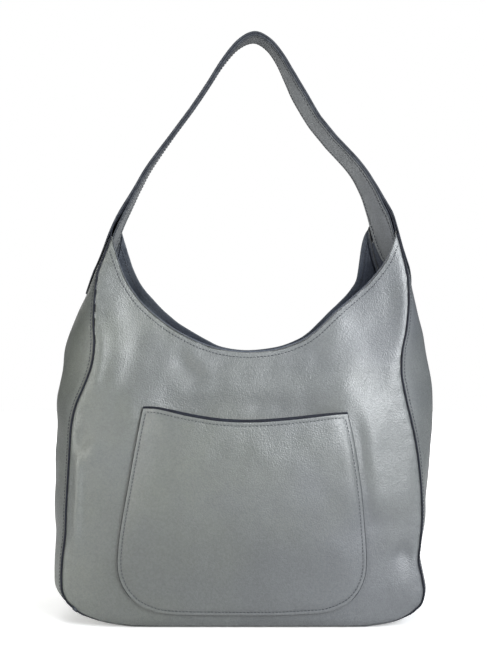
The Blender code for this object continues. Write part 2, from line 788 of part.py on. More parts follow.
def slider():
    """Zip slider at the closed end, and its pull, which turns about the bar under the slider's bridge."""
    x = -ZIP_TRAVEL
    length, height, web = SLIDER_HALF_LENGTH, SLIDER_HALF_HEIGHT, SLIDER_WEB_HALF_HEIGHT
    (face, plate), (web_end, back) = SLIDER_FRONT_PLATE, SLIDER_BACK_PLATE
    overlap = SLIDER_OVERLAP
    post = face + overlap
    inner, outer = BRIDGE_HALF_LENGTH, BRIDGE_HALF_LENGTH + BRIDGE_BAR
    # Front and back plates, the web that joins them, then the two posts and the bar of the bridge.
    pieces = (
        ((-length, face, -height), (length, plate, height)),
        ((-length, web_end, -height), (length, back, height)),
        ((-SLIDER_WEB_START, face + overlap, -web), (length - overlap, back - overlap, web)),
        ((-outer, BRIDGE_FACE, -web), (-inner, post, web)),
        ((inner, BRIDGE_FACE, -web), (outer, post, web)),
        ((-outer, BRIDGE_FACE, -web), (outer, BRIDGE_FACE + BRIDGE_BAR, web)),
    )
    made = []
    for number, (low, high) in enumerate(pieces):
        low = (x + low[0], low[1], ZIP_Z + low[2])
        high = (x + high[0], high[1], ZIP_Z + high[2])
        name = "zip_slider" if number == 0 else f"slider_piece_{number}"
        made.append(block(name, low, high, NICKEL))
    for number, extra in enumerate(made[1:]):
        extra.hide_render = True
        extra.display_type = "WIRE"
        union = made[0].modifiers.new(f"join_{number}", "BOOLEAN")
        union.operation = "UNION"
        union.object = extra
    reach, slot = PULLER_HALF_HEIGHT, PULLER_SLOT_HALF_HEIGHT
    low = (x - PULLER_BAR, PULLER_AXIS - PULLER_BAR, ZIP_Z - reach)
    high = (x + PULLER_LENGTH, PULLER_AXIS + PULLER_BAR, ZIP_Z + reach)
    along = (x + PULLER_BAR, x + PULLER_SLOT_END, x + PULLER_LENGTH - PULLER_GRIP)
    cuts = (along, (), (ZIP_Z - slot, ZIP_Z + slot))
    block("zip_puller", low, high, NICKEL, holes={(1, 1)}, cuts=cuts, origin=(x, PULLER_AXIS, ZIP_Z))


def main():
    for thing in list(bpy.data.objects):
        bpy.data.objects.remove(thing, do_unlink=True)
    panels()
    facings()
    gussets()
    base()
    welts()
    pocket()
    lining_fronts()
    lining_sides()
    strap()
    strap_ends()
    closure()
    zip_pocket()


main()
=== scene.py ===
"""Looks for the leather hobo bag: sculpted leather, piping, topstitching, lining and hardware.

Metres, +Z up, the bag faces -Y. Every surface is a thin closed sheet built from a grid of points.
"""
import math
from functools import partial

import bpy
import numpy as np
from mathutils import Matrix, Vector


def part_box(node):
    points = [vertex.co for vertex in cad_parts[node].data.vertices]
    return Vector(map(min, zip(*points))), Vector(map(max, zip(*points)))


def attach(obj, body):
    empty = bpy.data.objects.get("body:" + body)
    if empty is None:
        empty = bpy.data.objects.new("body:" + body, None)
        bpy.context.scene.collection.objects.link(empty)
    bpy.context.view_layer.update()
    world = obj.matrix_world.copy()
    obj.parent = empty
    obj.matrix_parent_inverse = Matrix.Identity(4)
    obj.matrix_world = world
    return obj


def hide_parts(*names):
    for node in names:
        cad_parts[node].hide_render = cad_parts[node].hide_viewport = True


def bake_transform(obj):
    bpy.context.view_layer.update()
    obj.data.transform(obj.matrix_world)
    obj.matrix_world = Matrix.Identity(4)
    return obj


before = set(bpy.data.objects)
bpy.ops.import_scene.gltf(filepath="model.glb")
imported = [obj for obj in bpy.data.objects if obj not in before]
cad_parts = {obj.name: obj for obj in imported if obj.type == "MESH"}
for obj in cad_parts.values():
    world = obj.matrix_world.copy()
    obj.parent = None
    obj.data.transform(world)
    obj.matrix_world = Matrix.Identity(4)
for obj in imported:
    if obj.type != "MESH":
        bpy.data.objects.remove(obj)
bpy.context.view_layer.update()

BAG, STRAP, CLOSURE = "bag", "strap", "closure"
STITCH_PITCH = 0.0030
STITCH_LENGTH = 0.0022
THREAD_RADIUS = 0.00037
PANEL_THICK = 0.0018
FACING_THICK = 0.0012
GUSSET_THICK = 0.0016
POCKET_THICK = 0.0016
STRAP_LEATHER_THICK = 0.0020
TAB_LEATHER_THICK = 0.0013
CLOTH_THICK = 0.0006
WING_TOP = 0.340
LIP_STITCH = 0.0045
GUSSET_STITCH = 0.0038
GUSSET_ROLL = 0.0016
FOLD_DEPTH = 1.45
FACING_RISE = 0.0006
PIPING_RADIUS = 0.00075
BASE_HALF_DEPTH = 0.0462
ANCHOR_THICK = 0.0013

# ---- outlines, as (x, z) points --------------------------------------------

LEFT_SEAM = (
    (-0.1420, 0.0155), (-0.1490, 0.0215), (-0.1535, 0.0300), (-0.1545, 0.0405), (-0.1538, 0.0575),
    (-0.1512, 0.0787), (-0.1505, 0.1000), (-0.1490, 0.1254), (-0.1476, 0.1508), (-0.1462, 0.1720),
    (-0.1424, 0.1890), (-0.1354, 0.2059), (-0.1296, 0.2228), (-0.1276, 0.2399), (-0.1286, 0.2613),
    (-0.1278, 0.2872), (-0.1262, 0.3020), (-0.1233, 0.3111), (-0.1199, 0.3204), (-0.1164, 0.3302),
    (-0.1150, 0.3350),
)
RIGHT_SEAM = (
    (0.1465, 0.0160), (0.1512, 0.0215), (0.1530, 0.0320), (0.1508, 0.0450), (0.1484, 0.0574),
    (0.1496, 0.0702), (0.1514, 0.0914), (0.1508, 0.1169), (0.1484, 0.1423), (0.1457, 0.1600),
    (0.1423, 0.1764), (0.1376, 0.1974), (0.1346, 0.2169), (0.1357, 0.2356), (0.1396, 0.2532),
    (0.1422, 0.2750), (0.1424, 0.2910), (0.1416, 0.3023), (0.1379, 0.3205), (0.1335, 0.3395),
)
BACK_LEFT_SEAM = (
    (-0.1420, 0.0155), (-0.1490, 0.0215), (-0.1528, 0.0300), (-0.1530, 0.0420), (-0.1512, 0.0600),
    (-0.1500, 0.0900), (-0.1488, 0.1200), (-0.1470, 0.1500), (-0.1430, 0.1780), (-0.1372, 0.2020),
    (-0.1322, 0.2260), (-0.1300, 0.2500), (-0.1285, 0.2750), (-0.1250, 0.2980), (-0.1185, 0.3180),
    (-0.1145, 0.3320), (-0.1120, 0.3450),
)
BACK_RIGHT_SEAM = (
    (0.1465, 0.0160), (0.1505, 0.0215), (0.1518, 0.0320), (0.1500, 0.0500), (0.1498, 0.0700),
    (0.1506, 0.0950), (0.1490, 0.1250), (0.1462, 0.1550), (0.1420, 0.1800), (0.1378, 0.2020),
    (0.1350, 0.2260), (0.1348, 0.2500), (0.1335, 0.2750), (0.1282, 0.2980), (0.1212, 0.3180),
    (0.1168, 0.3350), (0.1150, 0.3470),
)
SEAM_BOTTOM = (
    (-0.1420, 0.0155), (-0.1363, 0.0116), (-0.1210, 0.0062), (-0.1020, 0.0028), (-0.0850, 0.0015),
    (-0.0500, 0.0011), (0.0, 0.0011), (0.0500, 0.0011), (0.0950, 0.0014), (0.1120, 0.0030),
    (0.1286, 0.0062), (0.1405, 0.0116), (0.1465, 0.0160),
)
FRONT_LIP = (
    (-0.1150, 0.3350), (-0.1128, 0.3260), (-0.1100, 0.3170), (-0.1071, 0.3085), (-0.1039, 0.3004),
    (-0.0994, 0.2917), (-0.0944, 0.2844), (-0.0887, 0.2770), (-0.0819, 0.2703), (-0.0744, 0.2638),
    (-0.0662, 0.2575), (-0.0549, 0.2505), (-0.0376, 0.2419), (-0.0186, 0.2361), (0.0035, 0.2338),
    (0.0272, 0.2359), (0.0478, 0.2426), (0.0610, 0.2508), (0.0715, 0.2605), (0.0789, 0.2677),
    (0.0873, 0.2747), (0.0972, 0.2831), (0.1058, 0.2908), (0.1129, 0.2984), (0.1186, 0.3055),
    (0.1230, 0.3119), (0.1267, 0.3190), (0.1293, 0.3260), (0.1318, 0.3330), (0.1335, 0.3395),
)
BACK_LIP = (
    (-0.1120, 0.3450), (-0.1092, 0.3355), (-0.1066, 0.3262), (-0.1039, 0.3173), (-0.1015, 0.3096),
    (-0.0978, 0.3008), (-0.0942, 0.2939), (-0.0892, 0.2869), (-0.0829, 0.2799), (-0.0753, 0.2716),
    (-0.0690, 0.2658), (-0.0607, 0.2588), (-0.0537, 0.2542), (-0.0446, 0.2487), (-0.0336, 0.2425),
    (-0.0198, 0.2362), (0.0032, 0.2331), (0.0300, 0.2360), (0.0480, 0.2423), (0.0590, 0.2492),
    (0.0701, 0.2600), (0.0781, 0.2683), (0.0859, 0.2756), (0.0938, 0.2836), (0.0988, 0.2901),
    (0.1023, 0.2958), (0.1040, 0.3023), (0.1056, 0.3138), (0.1070, 0.3251), (0.1096, 0.3370),
    (0.1150, 0.3470),
)

# Half depth at the side seams, the swell between them and how far the gussets push out
SEAM_DEPTH = (
    (0.0, 0.048), (0.12, 0.048), (0.17, 0.047), (0.20, 0.045), (0.23, 0.042), (0.25, 0.039),
    (0.275, 0.034), (0.30, 0.0285), (0.32, 0.0245), (WING_TOP, 0.0205), (0.36, 0.0185),
)
PANEL_PUFF = (
    (0.0, 0.0), (0.010, 0.0045), (0.026, 0.0082), (0.055, 0.0112), (0.09, 0.0125), (0.14, 0.0120),
    (0.175, 0.0082), (0.205, 0.0012), (0.23, -0.006), (0.26, -0.0095), (0.30, -0.007), (WING_TOP, 0.0),
)
LEFT_BULGE = (
    (0.0135, 0.004), (0.0242, 0.0110), (0.0456, 0.0118), (0.0724, 0.0150), (0.1045, 0.0175),
    (0.1366, 0.0180), (0.1687, 0.0196), (0.2008, 0.0275), (0.2329, 0.0305), (0.265, 0.0195),
    (0.2864, 0.0106), (0.3078, 0.0056), (0.3293, 0.0046), (WING_TOP, 0.0038), (0.36, 0.0038),
)
RIGHT_BULGE = (
    (0.0135, 0.003), (0.0242, 0.0060), (0.0450, 0.0050), (0.0724, 0.0060), (0.1045, 0.0094),
    (0.1366, 0.0155), (0.1687, 0.0242), (0.2008, 0.0315), (0.2329, 0.0275), (0.265, 0.0165),
    (0.2864, 0.0110), (0.30, 0.0094), (0.312, 0.0082), (0.325, 0.0062), (0.338, 0.0044),
    (WING_TOP, 0.0044), (0.36, 0.0044),
)

# Shoulder strap above the wings: x, z of its middle, and the degrees its inner face turns to the front
STRAP_PATH = (
    (-0.1104, 0.3500, 0.0), (-0.1047, 0.3600, -1.5), (-0.0944, 0.3790, -3.0), (-0.0833, 0.3985, -5.0),
    (-0.0600, 0.4310, -8.5), (-0.0452, 0.4510, -8.5), (-0.0314, 0.4715, -8.0), (-0.0185, 0.4915, -7.0),
    (-0.0048, 0.5072, -5.5), (0.0095, 0.5135, -2.5), (0.0222, 0.5072, 0.0), (0.0322, 0.4945, 3.0),
    (0.0410, 0.4780, 7.0), (0.0505, 0.4600, 11.0), (0.0687, 0.4310, 10.0), (0.0977, 0.3990, 11.0),
    (0.1105, 0.3790, 15.0), (0.1195, 0.3600, 20.0), (0.1238, 0.3500, 25.0),
)
STRAP_HALF_WIDTH = 0.018
STRAP_STITCH = 0.0040
STRAP_JOIN = 0.345
STRAP_CALM = 0.372
STRAP_ROWS = 190
STRAP_COLUMNS = 17
TAB_TIP = {-1: 0.2845, 1: 0.2880}
TAB_SHOULDER_RISE = 0.020
TAIL_TIP = {-1: 0.2920, 1: 0.2960}
CORE_TIP = {-1: 0.3290, 1: 0.3290}

POCKET_LEFT = (
    (-0.0800, 0.0175), (-0.0905, 0.0235), (-0.0985, 0.0320), (-0.1040, 0.0430), (-0.1062, 0.0560),
    (-0.1050, 0.0750), (-0.1020, 0.0950), (-0.0975, 0.1200), (-0.0925, 0.1480), (-0.0885, 0.1700),
    (-0.0852, 0.1873),
)
POCKET_RIGHT = (
    (0.0790, 0.0185), (0.0890, 0.0240), (0.0965, 0.0325), (0.1015, 0.0430), (0.1035, 0.0540),
    (0.1032, 0.0720), (0.1018, 0.0900), (0.0995, 0.1150), (0.0962, 0.1400), (0.0920, 0.1650),
    (0.0878, 0.1832),
)
POCKET_BASE = (
    (-0.0800, 0.0175), (-0.0680, 0.0142), (-0.0500, 0.0128), (-0.0200, 0.0122), (0.0200, 0.0124),
    (0.0500, 0.0134), (0.0680, 0.0150), (0.0790, 0.0185),
)
POCKET_TOP = (
    (-0.0852, 0.1873), (-0.0790, 0.1876), (-0.0700, 0.1868), (-0.0450, 0.1815), (-0.0200, 0.1777),
    (0.0050, 0.1766), (0.0300, 0.1778), (0.0550, 0.1803), (0.0750, 0.1826), (0.0878, 0.1832),
)
POCKET_EDGE_STAND = 0.0012
POCKET_STITCH = 0.0038
POCKET_SIDE_STITCH = 0.0036
POCKET_ROOM = 0.0068


# ---- curves and surfaces ----------------------------------------------------


def smooth(t):
    t = np.clip(t, 0.0, 1.0)
    return t * t * (3 - 2 * t)


def bell(gap, middle, width):
    return np.exp(-(((gap - middle) / width) ** 2))


def unit(vectors):
    return vectors / np.maximum(np.linalg.norm(vectors, axis=-1, keepdims=True), 1e-12)


def xyz(x, y, z):
    """Points from three arrays or numbers, which are spread to one shape."""
    return np.stack(np.broadcast_arrays(x, y, z), -1)


def shares(near, far, few, many):
    """Shares from 0 to 1, with few close steps at each end and many between near and far."""
    runs = [np.linspace(0, near, few)[:-1], np.linspace(near, far, many), np.linspace(far, 1, few)[1:]]
    return np.concatenate(runs)


def dense(points, per=12):
    """A smooth curve through the points, as a polyline with per lengths between each two."""
    points = np.array(points, float)
    padded = np.vstack([2 * points[0] - points[1], points, 2 * points[-1] - points[-2]])
    s = (np.arange(per) / per)[:, None]
    runs = []
    for a, b, c, d in zip(padded, padded[1:], padded[2:], padded[3:]):
        bend = (2 * a - 5 * b + 4 * c - d) * s**2 + (3 * b - a - 3 * c + d) * s**3
        runs.append(b + 0.5 * ((c - a) * s + bend))
    return np.vstack(runs + [points[-1:]])


def lengths(polyline):
    return np.concatenate([[0.0], np.cumsum(np.linalg.norm(np.diff(polyline, axis=0), axis=1))])


def at_length(polyline, distance):
    reached = lengths(polyline)
    return np.stack([np.interp(distance, reached, polyline[:, k]) for k in range(polyline.shape[1])], -1)


def at_share(polyline, share):
    return at_length(polyline, np.asarray(share) * lengths(polyline)[-1])


def lookup(table, t):
    """The smooth curve through (t, value) rows."""
    table = np.array(table, float)
    reach = dense(table, 16)
    return np.interp(t, reach[:, 0], reach[:, 1])


def coons(bottom, top, left, right, us, vs):
    """(rows, columns, 2) points filling four edges."""
    u, v = us[None, :, None], vs[:, None, None]
    low, high = at_share(bottom, us)[None], at_share(top, us)[None]
    near, far = at_share(left, vs)[:, None], at_share(right, vs)[:, None]
    ruled = low * (1 - v) + high * v + near * (1 - u) + far * u
    corners = (bottom[0] * (1 - u) + bottom[-1] * u) * (1 - v)
    return ruled - corners - (top[0] * (1 - u) + top[-1] * u) * v


def nearest(x, z, polyline):
    """Distance from each point to a polyline, and the share of its length at the nearest place."""
    flat = np.stack([np.ravel(x), np.ravel(z)], -1)
    best = np.full(len(flat), 1e9)
    share = np.zeros(len(flat))
    reached = lengths(polyline)
    for k in range(len(polyline) - 1):
        a, b = polyline[k], polyline[k + 1]
        edge = b - a
        t = np.clip(((flat - a) @ edge) / max(edge @ edge, 1e-12), 0, 1)
        away = np.linalg.norm(flat - a - t[:, None] * edge, axis=1)
        closer = away < best
        best[closer] = away[closer]
        share[closer] = (reached[k] + t[closer] * (reached[k + 1] - reached[k])) / reached[-1]
    return best.reshape(np.shape(x)), share.reshape(np.shape(x))


def ridge(x, z, points, height, width, fade=0.25):
    """A soft fold along a line of points: raised (or sunk) by height, dying out at both ends."""
    away, share = nearest(x, z, dense(points, 4))
    ends = smooth(share / fade) * smooth((1 - share) / fade)
    return height * np.exp(-((away / width) ** 2)) * ends


def drift(x, z, size, seed):
    """A gentle, repeatable unevenness between about -1 and 1."""
    total = np.zeros(np.shape(x))
    for k in range(6):
        turn = seed * 1.7 + k * 2.4
        pace = 2 * math.pi / size * (0.7 + 0.23 * k)
        total = total + np.sin(pace * (x * math.cos(turn) + z * math.sin(turn)) + 4.1 * k + seed * 3.3)
    return total / 3.5


SEAMS = {
    (-1, -1): dense(LEFT_SEAM),
    (-1, 1): dense(RIGHT_SEAM),
    (1, -1): dense(BACK_LEFT_SEAM),
    (1, 1): dense(BACK_RIGHT_SEAM),
}
LIPS = {-1: dense(FRONT_LIP), 1: dense(BACK_LIP)}
BOTTOM = dense(SEAM_BOTTOM)


def seam_x(face, hand, z):
    """x of a seam at height z: face -1 is the front and 1 the back, hand -1 the left and 1 the right."""
    seam = SEAMS[face, hand]
    return np.interp(z, seam[:, 1], seam[:, 0])


def whole_seam(face):
    """The seam round a panel, from the left wing tip under the bag to the right wing tip."""
    return np.vstack([SEAMS[face, -1][::-1], BOTTOM[1:-1], SEAMS[face, 1]])


SEAM_LINES = {face: whole_seam(face)[::3] for face in (-1, 1)}


# Folds and dents, as (points, height, width and how much of each end fades out)
FOLDS = {
    -1: (
        # by the left seam, from the wing down to the dent at pocket height
        (((-0.1120, 0.300), (-0.1092, 0.270), (-0.1046, 0.242), (-0.1032, 0.223), (-0.1160, 0.191),
          (-0.1270, 0.174)), 0.0010, 0.0105, 0.30),
        (((-0.0970, 0.262), (-0.0962, 0.243), (-0.0975, 0.222), (-0.1085, 0.200), (-0.1220, 0.184)),
         -0.0008, 0.0105, 0.30),
        (((-0.1250, 0.262), (-0.1240, 0.236), (-0.1280, 0.212), (-0.1360, 0.193)), 0.0012, 0.0060, 0.30),
        (((-0.1500, 0.172), (-0.1400, 0.164), (-0.1260, 0.152)), -0.0013, 0.0085, 0.40),
        (((-0.1360, 0.162), (-0.1290, 0.150), (-0.1270, 0.136)), 0.0012, 0.0090, 0.40),
        (((-0.1430, 0.158), (-0.1432, 0.110), (-0.1450, 0.060)), 0.0026, 0.0060, 0.25),
        # below the mouth
        (((-0.0520, 0.243), (-0.0380, 0.228), (-0.0200, 0.219)), 0.0012, 0.0080, 0.40),
        (((-0.0600, 0.232), (-0.0450, 0.216), (-0.0280, 0.207)), -0.0009, 0.0080, 0.40),
        (((0.0220, 0.226), (0.0450, 0.222), (0.0660, 0.232)), 0.0006, 0.0090, 0.40),
        # the swell under the right wing and the hollows on both sides of it
        (((0.0740, 0.290), (0.0760, 0.266), (0.0800, 0.245), (0.0850, 0.225), (0.0900, 0.200),
          (0.0960, 0.170), (0.1010, 0.130), (0.1060, 0.085)), 0.0038, 0.0260, 0.15),
        (((0.1280, 0.298), (0.1262, 0.272), (0.1268, 0.250)), -0.0006, 0.0070, 0.40),
        (((0.0925, 0.196), (0.0975, 0.158), (0.1030, 0.112), (0.1110, 0.078)), -0.0024, 0.0075, 0.30),
        # the lower right corner
        (((0.1500, 0.058), (0.1400, 0.062), (0.1260, 0.070)), -0.0016, 0.0080, 0.35),
        (((0.1440, 0.044), (0.1340, 0.036), (0.1200, 0.030)), 0.0008, 0.0100, 0.35),
    ),
    1: (
        (((-0.108, 0.300), (-0.106, 0.262), (-0.112, 0.225), (-0.128, 0.195)), 0.0032, 0.0095),
        (((-0.094, 0.280), (-0.090, 0.245), (-0.098, 0.210), (-0.112, 0.180)), -0.0026, 0.0100),
        (((0.108, 0.290), (0.104, 0.255), (0.110, 0.222), (0.126, 0.192)), 0.0034, 0.0100),
        (((0.094, 0.275), (0.089, 0.240), (0.096, 0.206), (0.112, 0.178)), -0.0026, 0.0110),
        (((-0.060, 0.226), (-0.030, 0.205), (0.010, 0.198), (0.050, 0.210)), 0.0020, 0.0120),
        (((-0.075, 0.190), (-0.030, 0.176), (0.020, 0.174), (0.070, 0.188)), -0.0024, 0.0130),
        (((-0.130, 0.110), (-0.110, 0.085), (-0.075, 0.070)), 0.0018, 0.0140, 0.35),
        (((0.132, 0.120), (0.112, 0.092), (0.078, 0.076)), 0.0018, 0.0140, 0.35),
    ),
}
MOUTH_HOLLOW = (((-0.1000, 0.184), (-0.0300, 0.186), (0.0400, 0.185), (0.0980, 0.186)), -0.0034, 0.0140)


def folds(face, x, z):
    return sum(ridge(x, z, *fold) for fold in FOLDS[face])


def mouth_hollow(x, z):
    """The dent of the front panel behind the mouth of the patch pocket."""
    return ridge(x, z, *MOUTH_HOLLOW)


def panel_y(face, x, z):
    """y of the outer surface of the front or back panel, folds included."""
    left, right = seam_x(face, -1, z), seam_x(face, 1, z)
    across = np.clip(np.abs((2 * x - left - right) / (right - left)), 0, 1)
    away, share = nearest(x, z, SEAM_LINES[face])
    swell = lookup(PANEL_PUFF, z) * (1 - across ** np.where(x * face < 0, 3.0, 3.6))
    roll = 0.0022 * (1 - np.exp(-away / 0.0030))
    pucker = 0.00028 * np.sin(share * 560 + 3 * np.sin(share * 41)) * np.exp(-away / 0.007)
    lift = FOLD_DEPTH * (folds(face, x, z) + (mouth_hollow(x, z) if face < 0 else 0))
    uneven = 0.0007 * drift(x, z, 0.11, 1 + face) + 0.00022 * drift(x, z, 0.035, 3 + face)
    hold = smooth(away / 0.012)
    return face * (lookup(SEAM_DEPTH, z) + swell + roll + pucker + (lift + uneven) * hold)


def surface_normal(face, x, z, surface):
    step = 0.0006
    dx = (surface(x + step, z) - surface(x - step, z)) / (2 * step)
    dz = (surface(x, z + step) - surface(x, z - step)) / (2 * step)
    return unit(xyz(-dx, 1.0, -dz)) * face


def gusset_x(hand, y, z):
    """x of the outer surface of a gusset at depth y and height z."""
    bulge = lookup(LEFT_BULGE if hand < 0 else RIGHT_BULGE, z)
    half = lookup(SEAM_DEPTH, z)
    front, back = seam_x(-1, hand, z), seam_x(1, hand, z)
    t = np.clip((y / half + 1) / 2, 0, 1)
    chord = front * (1 - t) + back * t
    across = np.abs(2 * t - 1)
    low = smooth((0.27 - z) / 0.06)
    crease = -0.0024 * bell(y, 0.004 * np.sin(z * 31), 0.010) * low * smooth((z - 0.05) / 0.08)
    uneven = 0.0009 * drift(y * 1.6, z, 0.07, 7 + hand) * (1 - across**4) * low
    roll = GUSSET_ROLL * (1 - np.exp(-(1 - across) * half / 0.0028))
    return chord + hand * ((bulge - GUSSET_ROLL) * (1 - across**2.2) + crease + uneven + roll)


# ---- materials --------------------------------------------------------------


def shader(name, roughness, metallic=0.0):
    """A material, its node tree, its main node and the socket of object coordinates."""
    made = bpy.data.materials.new(name)
    made.use_nodes = True
    tree = made.node_tree
    body = tree.nodes["Principled BSDF"]
    body.inputs["Roughness"].default_value = roughness
    body.inputs["Metallic"].default_value = metallic
    return made, tree, body, node(tree, "ShaderNodeTexCoord").outputs["Object"]


def node(tree, kind, inputs=(), **settings):
    made = tree.nodes.new(kind)
    for key, value in settings.items():
        setattr(made, key, value)
    for key, value in dict(inputs).items():
        if isinstance(value, bpy.types.NodeSocket):
            tree.links.new(value, made.inputs[key])
        else:
            made.inputs[key].default_value = value
    return made


def maths(tree, operation, a, b):
    return node(tree, "ShaderNodeMath", {0: a, 1: b}, operation=operation).outputs[0]


def plus(tree, a, b, share):
    """a + b * share"""
    return maths(tree, "ADD", a, maths(tree, "MULTIPLY", b, share))


def mix(tree, share, a, b):
    return node(tree, "ShaderNodeMix", {0: share, 6: (*a, 1), 7: (*b, 1)}, data_type="RGBA").outputs[2]


def stain(tree, colour, where, strength, tint):
    """A colour socket with a tint mixed in by where * strength."""
    share = maths(tree, "MULTIPLY", where, strength)
    return node(tree, "ShaderNodeMix", {0: share, 6: colour, 7: (*tint, 1)}, data_type="RGBA").outputs[2]


def noise(tree, place, size, detail=3.0, roughness=0.55, distortion=0.0):
    made = node(
        tree, "ShaderNodeTexNoise",
        {"Vector": place, "Scale": 1 / size, "Detail": detail, "Roughness": roughness,
         "Distortion": distortion})
    return made.outputs["Fac"]


def spread(tree, value, low, high, to_low=0.0, to_high=1.0):
    made = node(
        tree, "ShaderNodeMapRange",
        {0: value, 1: low, 2: high, 3: to_low, 4: to_high}, interpolation_type="SMOOTHSTEP")
    return made.outputs[0]


def bumped(tree, body, heights):
    """Stacks bumps, each (height socket, distance in metres)."""
    normal = None
    for height, distance in heights:
        made = node(tree, "ShaderNodeBump", {"Height": height, "Distance": distance, "Strength": 1.0})
        if normal is not None:
            tree.links.new(normal, made.inputs["Normal"])
        normal = made.outputs[0]
    tree.links.new(normal, body.inputs["Normal"])


def leather(name, main, warm, pale, deep, roughness=0.40, grain=0.00021, crease=0.00018, gloss=1.0):
    """Soft pebbled leather: warm drifts into main from left to right, pale where worn and where highlights
    are painted, deep in its grain and dark where shade is painted.

    The warm-to-main drift is a painted tint: the warm fill light's colour on the left, the cool key light's
    on the right.
    One mesh attribute says where it is rubbed pale and where highlights are painted pale, the other where
    shade is painted dark.
    """
    made, tree, body, place = shader(name, roughness)
    wide = spread(tree, noise(tree, place, 0.11, 2.0), 0.35, 0.65)
    cloud = spread(tree, noise(tree, place, 0.022, 4.0, 0.6), 0.30, 0.72)
    # painted light tint: warm (greener) on the left as under the warm fill light, main (bluer) on the right
    # as under the cool key light
    east = node(tree, "ShaderNodeSeparateXYZ", {0: place}).outputs[0]
    side = spread(tree, east, -0.12, 0.13)
    colour = mix(tree, plus(tree, maths(tree, "MULTIPLY", wide, 0.45), side, 0.55), warm, main)
    colour = stain(tree, colour, cloud, 0.25, deep)
    wear_and_highlight = node(tree, "ShaderNodeAttribute", attribute_name="wear_and_highlight").outputs["Fac"]
    painted_shade = node(tree, "ShaderNodeAttribute", attribute_name="painted_shade").outputs["Fac"]
    specks = spread(tree, noise(tree, place, 0.0016, 3.0, 0.7), 0.42, 0.62)
    # pale where rubbed and where highlights are painted
    colour = stain(tree, colour, wear_and_highlight, plus(tree, 0.25, specks, 0.35), pale)
    # painted shade, dark where the mesh marks gaps, grooves, hollows and the base
    colour = stain(tree, colour, painted_shade, 0.85, [c * 0.22 for c in deep])
    pebbles = node(
        tree, "ShaderNodeTexVoronoi",
        {"Vector": place, "Scale": 1 / 0.0012, "Randomness": 0.95, "Smoothness": 0.5},
        feature="SMOOTH_F1").outputs["Distance"]
    lines = noise(tree, place, 0.0034, 5.0, 0.65, 0.7)
    fine = noise(tree, place, 0.0008, 2.0)
    hollows = spread(tree, pebbles, 0.15, 0.70)
    mottle = spread(tree, noise(tree, place, 0.0022, 4.0, 0.7), 0.36, 0.64)
    colour = stain(tree, colour, hollows, 0.26, deep)
    colour = stain(tree, colour, mottle, 0.10, pale)
    tree.links.new(colour, body.inputs["Base Color"])
    patchy = spread(tree, noise(tree, place, 0.030, 4.0, 0.6), 0.3, 0.7, -0.05, 0.06)
    rough = maths(tree, "ADD", roughness, patchy)
    rough = maths(tree, "SUBTRACT", rough, maths(tree, "MULTIPLY", wear_and_highlight, 0.06))
    tree.links.new(plus(tree, rough, hollows, 0.10), body.inputs["Roughness"])
    body.inputs["Specular IOR Level"].default_value = gloss
    bumped(tree, body, ((lines, crease), (pebbles, -grain), (fine, grain * 0.30)))
    return made


def painted_edge(name, dark, light):
    """The painted cut edge of leather, with streaks and scuffs."""
    made, tree, body, place = shader(name, 0.55)
    streak = spread(tree, noise(tree, place, 0.006, 4.0, 0.65), 0.35, 0.7)
    scuff = spread(tree, noise(tree, place, 0.0015, 3.0, 0.7), 0.58, 0.72)
    colour = stain(tree, mix(tree, streak, dark, light), scuff, 0.35, (0.06, 0.066, 0.075))
    body.inputs["Specular IOR Level"].default_value = 0.2
    tree.links.new(colour, body.inputs["Base Color"])
    tree.links.new(plus(tree, 0.50, streak, 0.2), body.inputs["Roughness"])
    bumped(tree, body, ((noise(tree, place, 0.0012, 4.0, 0.6), 0.00012),))
    return made


def woven(name, dark, light, thread=0.0006, depth=0.00008):
    """Diagonal twill, clouded and a little crumpled."""
    made, tree, body, place = shader(name, 0.82)
    turned = node(tree, "ShaderNodeMapping", {"Vector": place, "Rotation": (0.6, 0.5, 0.785)}).outputs[0]
    wave = node(
        tree, "ShaderNodeTexWave",
        {"Vector": turned, "Scale": 0.314 / thread, "Distortion": 0.6, "Detail": 1.0, "Detail Scale": 2.0},
        wave_type="BANDS", bands_direction="X").outputs["Fac"]
    cross = node(
        tree, "ShaderNodeTexWave",
        {"Vector": turned, "Scale": 0.314 / (thread * 0.6), "Distortion": 0.4, "Detail": 1.0},
        wave_type="BANDS", bands_direction="Y").outputs["Fac"]
    weave = maths(tree, "MULTIPLY", wave, plus(tree, 0.6, cross, 0.4))
    cloud = spread(tree, noise(tree, place, 0.02, 4.0, 0.6), 0.3, 0.7)
    share = plus(tree, maths(tree, "MULTIPLY", weave, 0.6), cloud, 0.35)
    tree.links.new(mix(tree, share, dark, light), body.inputs["Base Color"])
    body.inputs["Sheen Weight"].default_value = 0.15
    bumped(tree, body, ((noise(tree, place, 0.008, 3.0), 0.00025), (weave, depth)))
    return made


def thread_look():
    made, tree, body, place = shader("thread", 0.55)
    ply = noise(tree, place, 0.0005, 3.0, 0.7)
    tree.links.new(mix(tree, ply, (0.012, 0.014, 0.021), (0.036, 0.040, 0.050)), body.inputs["Base Color"])
    bumped(tree, body, ((ply, 0.00010),))
    return made


def metal():
    made, tree, body, place = shader("brushed_nickel", 0.26, 1.0)
    stretched = node(tree, "ShaderNodeMapping", {"Vector": place, "Scale": (1.0, 6.0, 1.0)}).outputs[0]
    brush = noise(tree, stretched, 0.0012, 5.0, 0.7)
    dull = spread(tree, noise(tree, place, 0.004, 3.0), 0.35, 0.7)
    tree.links.new(mix(tree, dull, (0.70, 0.69, 0.66), (0.52, 0.52, 0.51)), body.inputs["Base Color"])
    rough = plus(tree, 0.16, maths(tree, "ADD", brush, dull), 0.13)
    tree.links.new(rough, body.inputs["Roughness"])
    bumped(tree, body, ((brush, 0.00002),))
    return made


def pressed_board():
    made, tree, body, place = shader("pressed_board", 0.85)
    fibre = noise(tree, place, 0.0015, 5.0, 0.7)
    tree.links.new(mix(tree, fibre, (0.19, 0.165, 0.13), (0.32, 0.285, 0.235)), body.inputs["Base Color"])
    bumped(tree, body, ((fibre, 0.00015),))
    return made


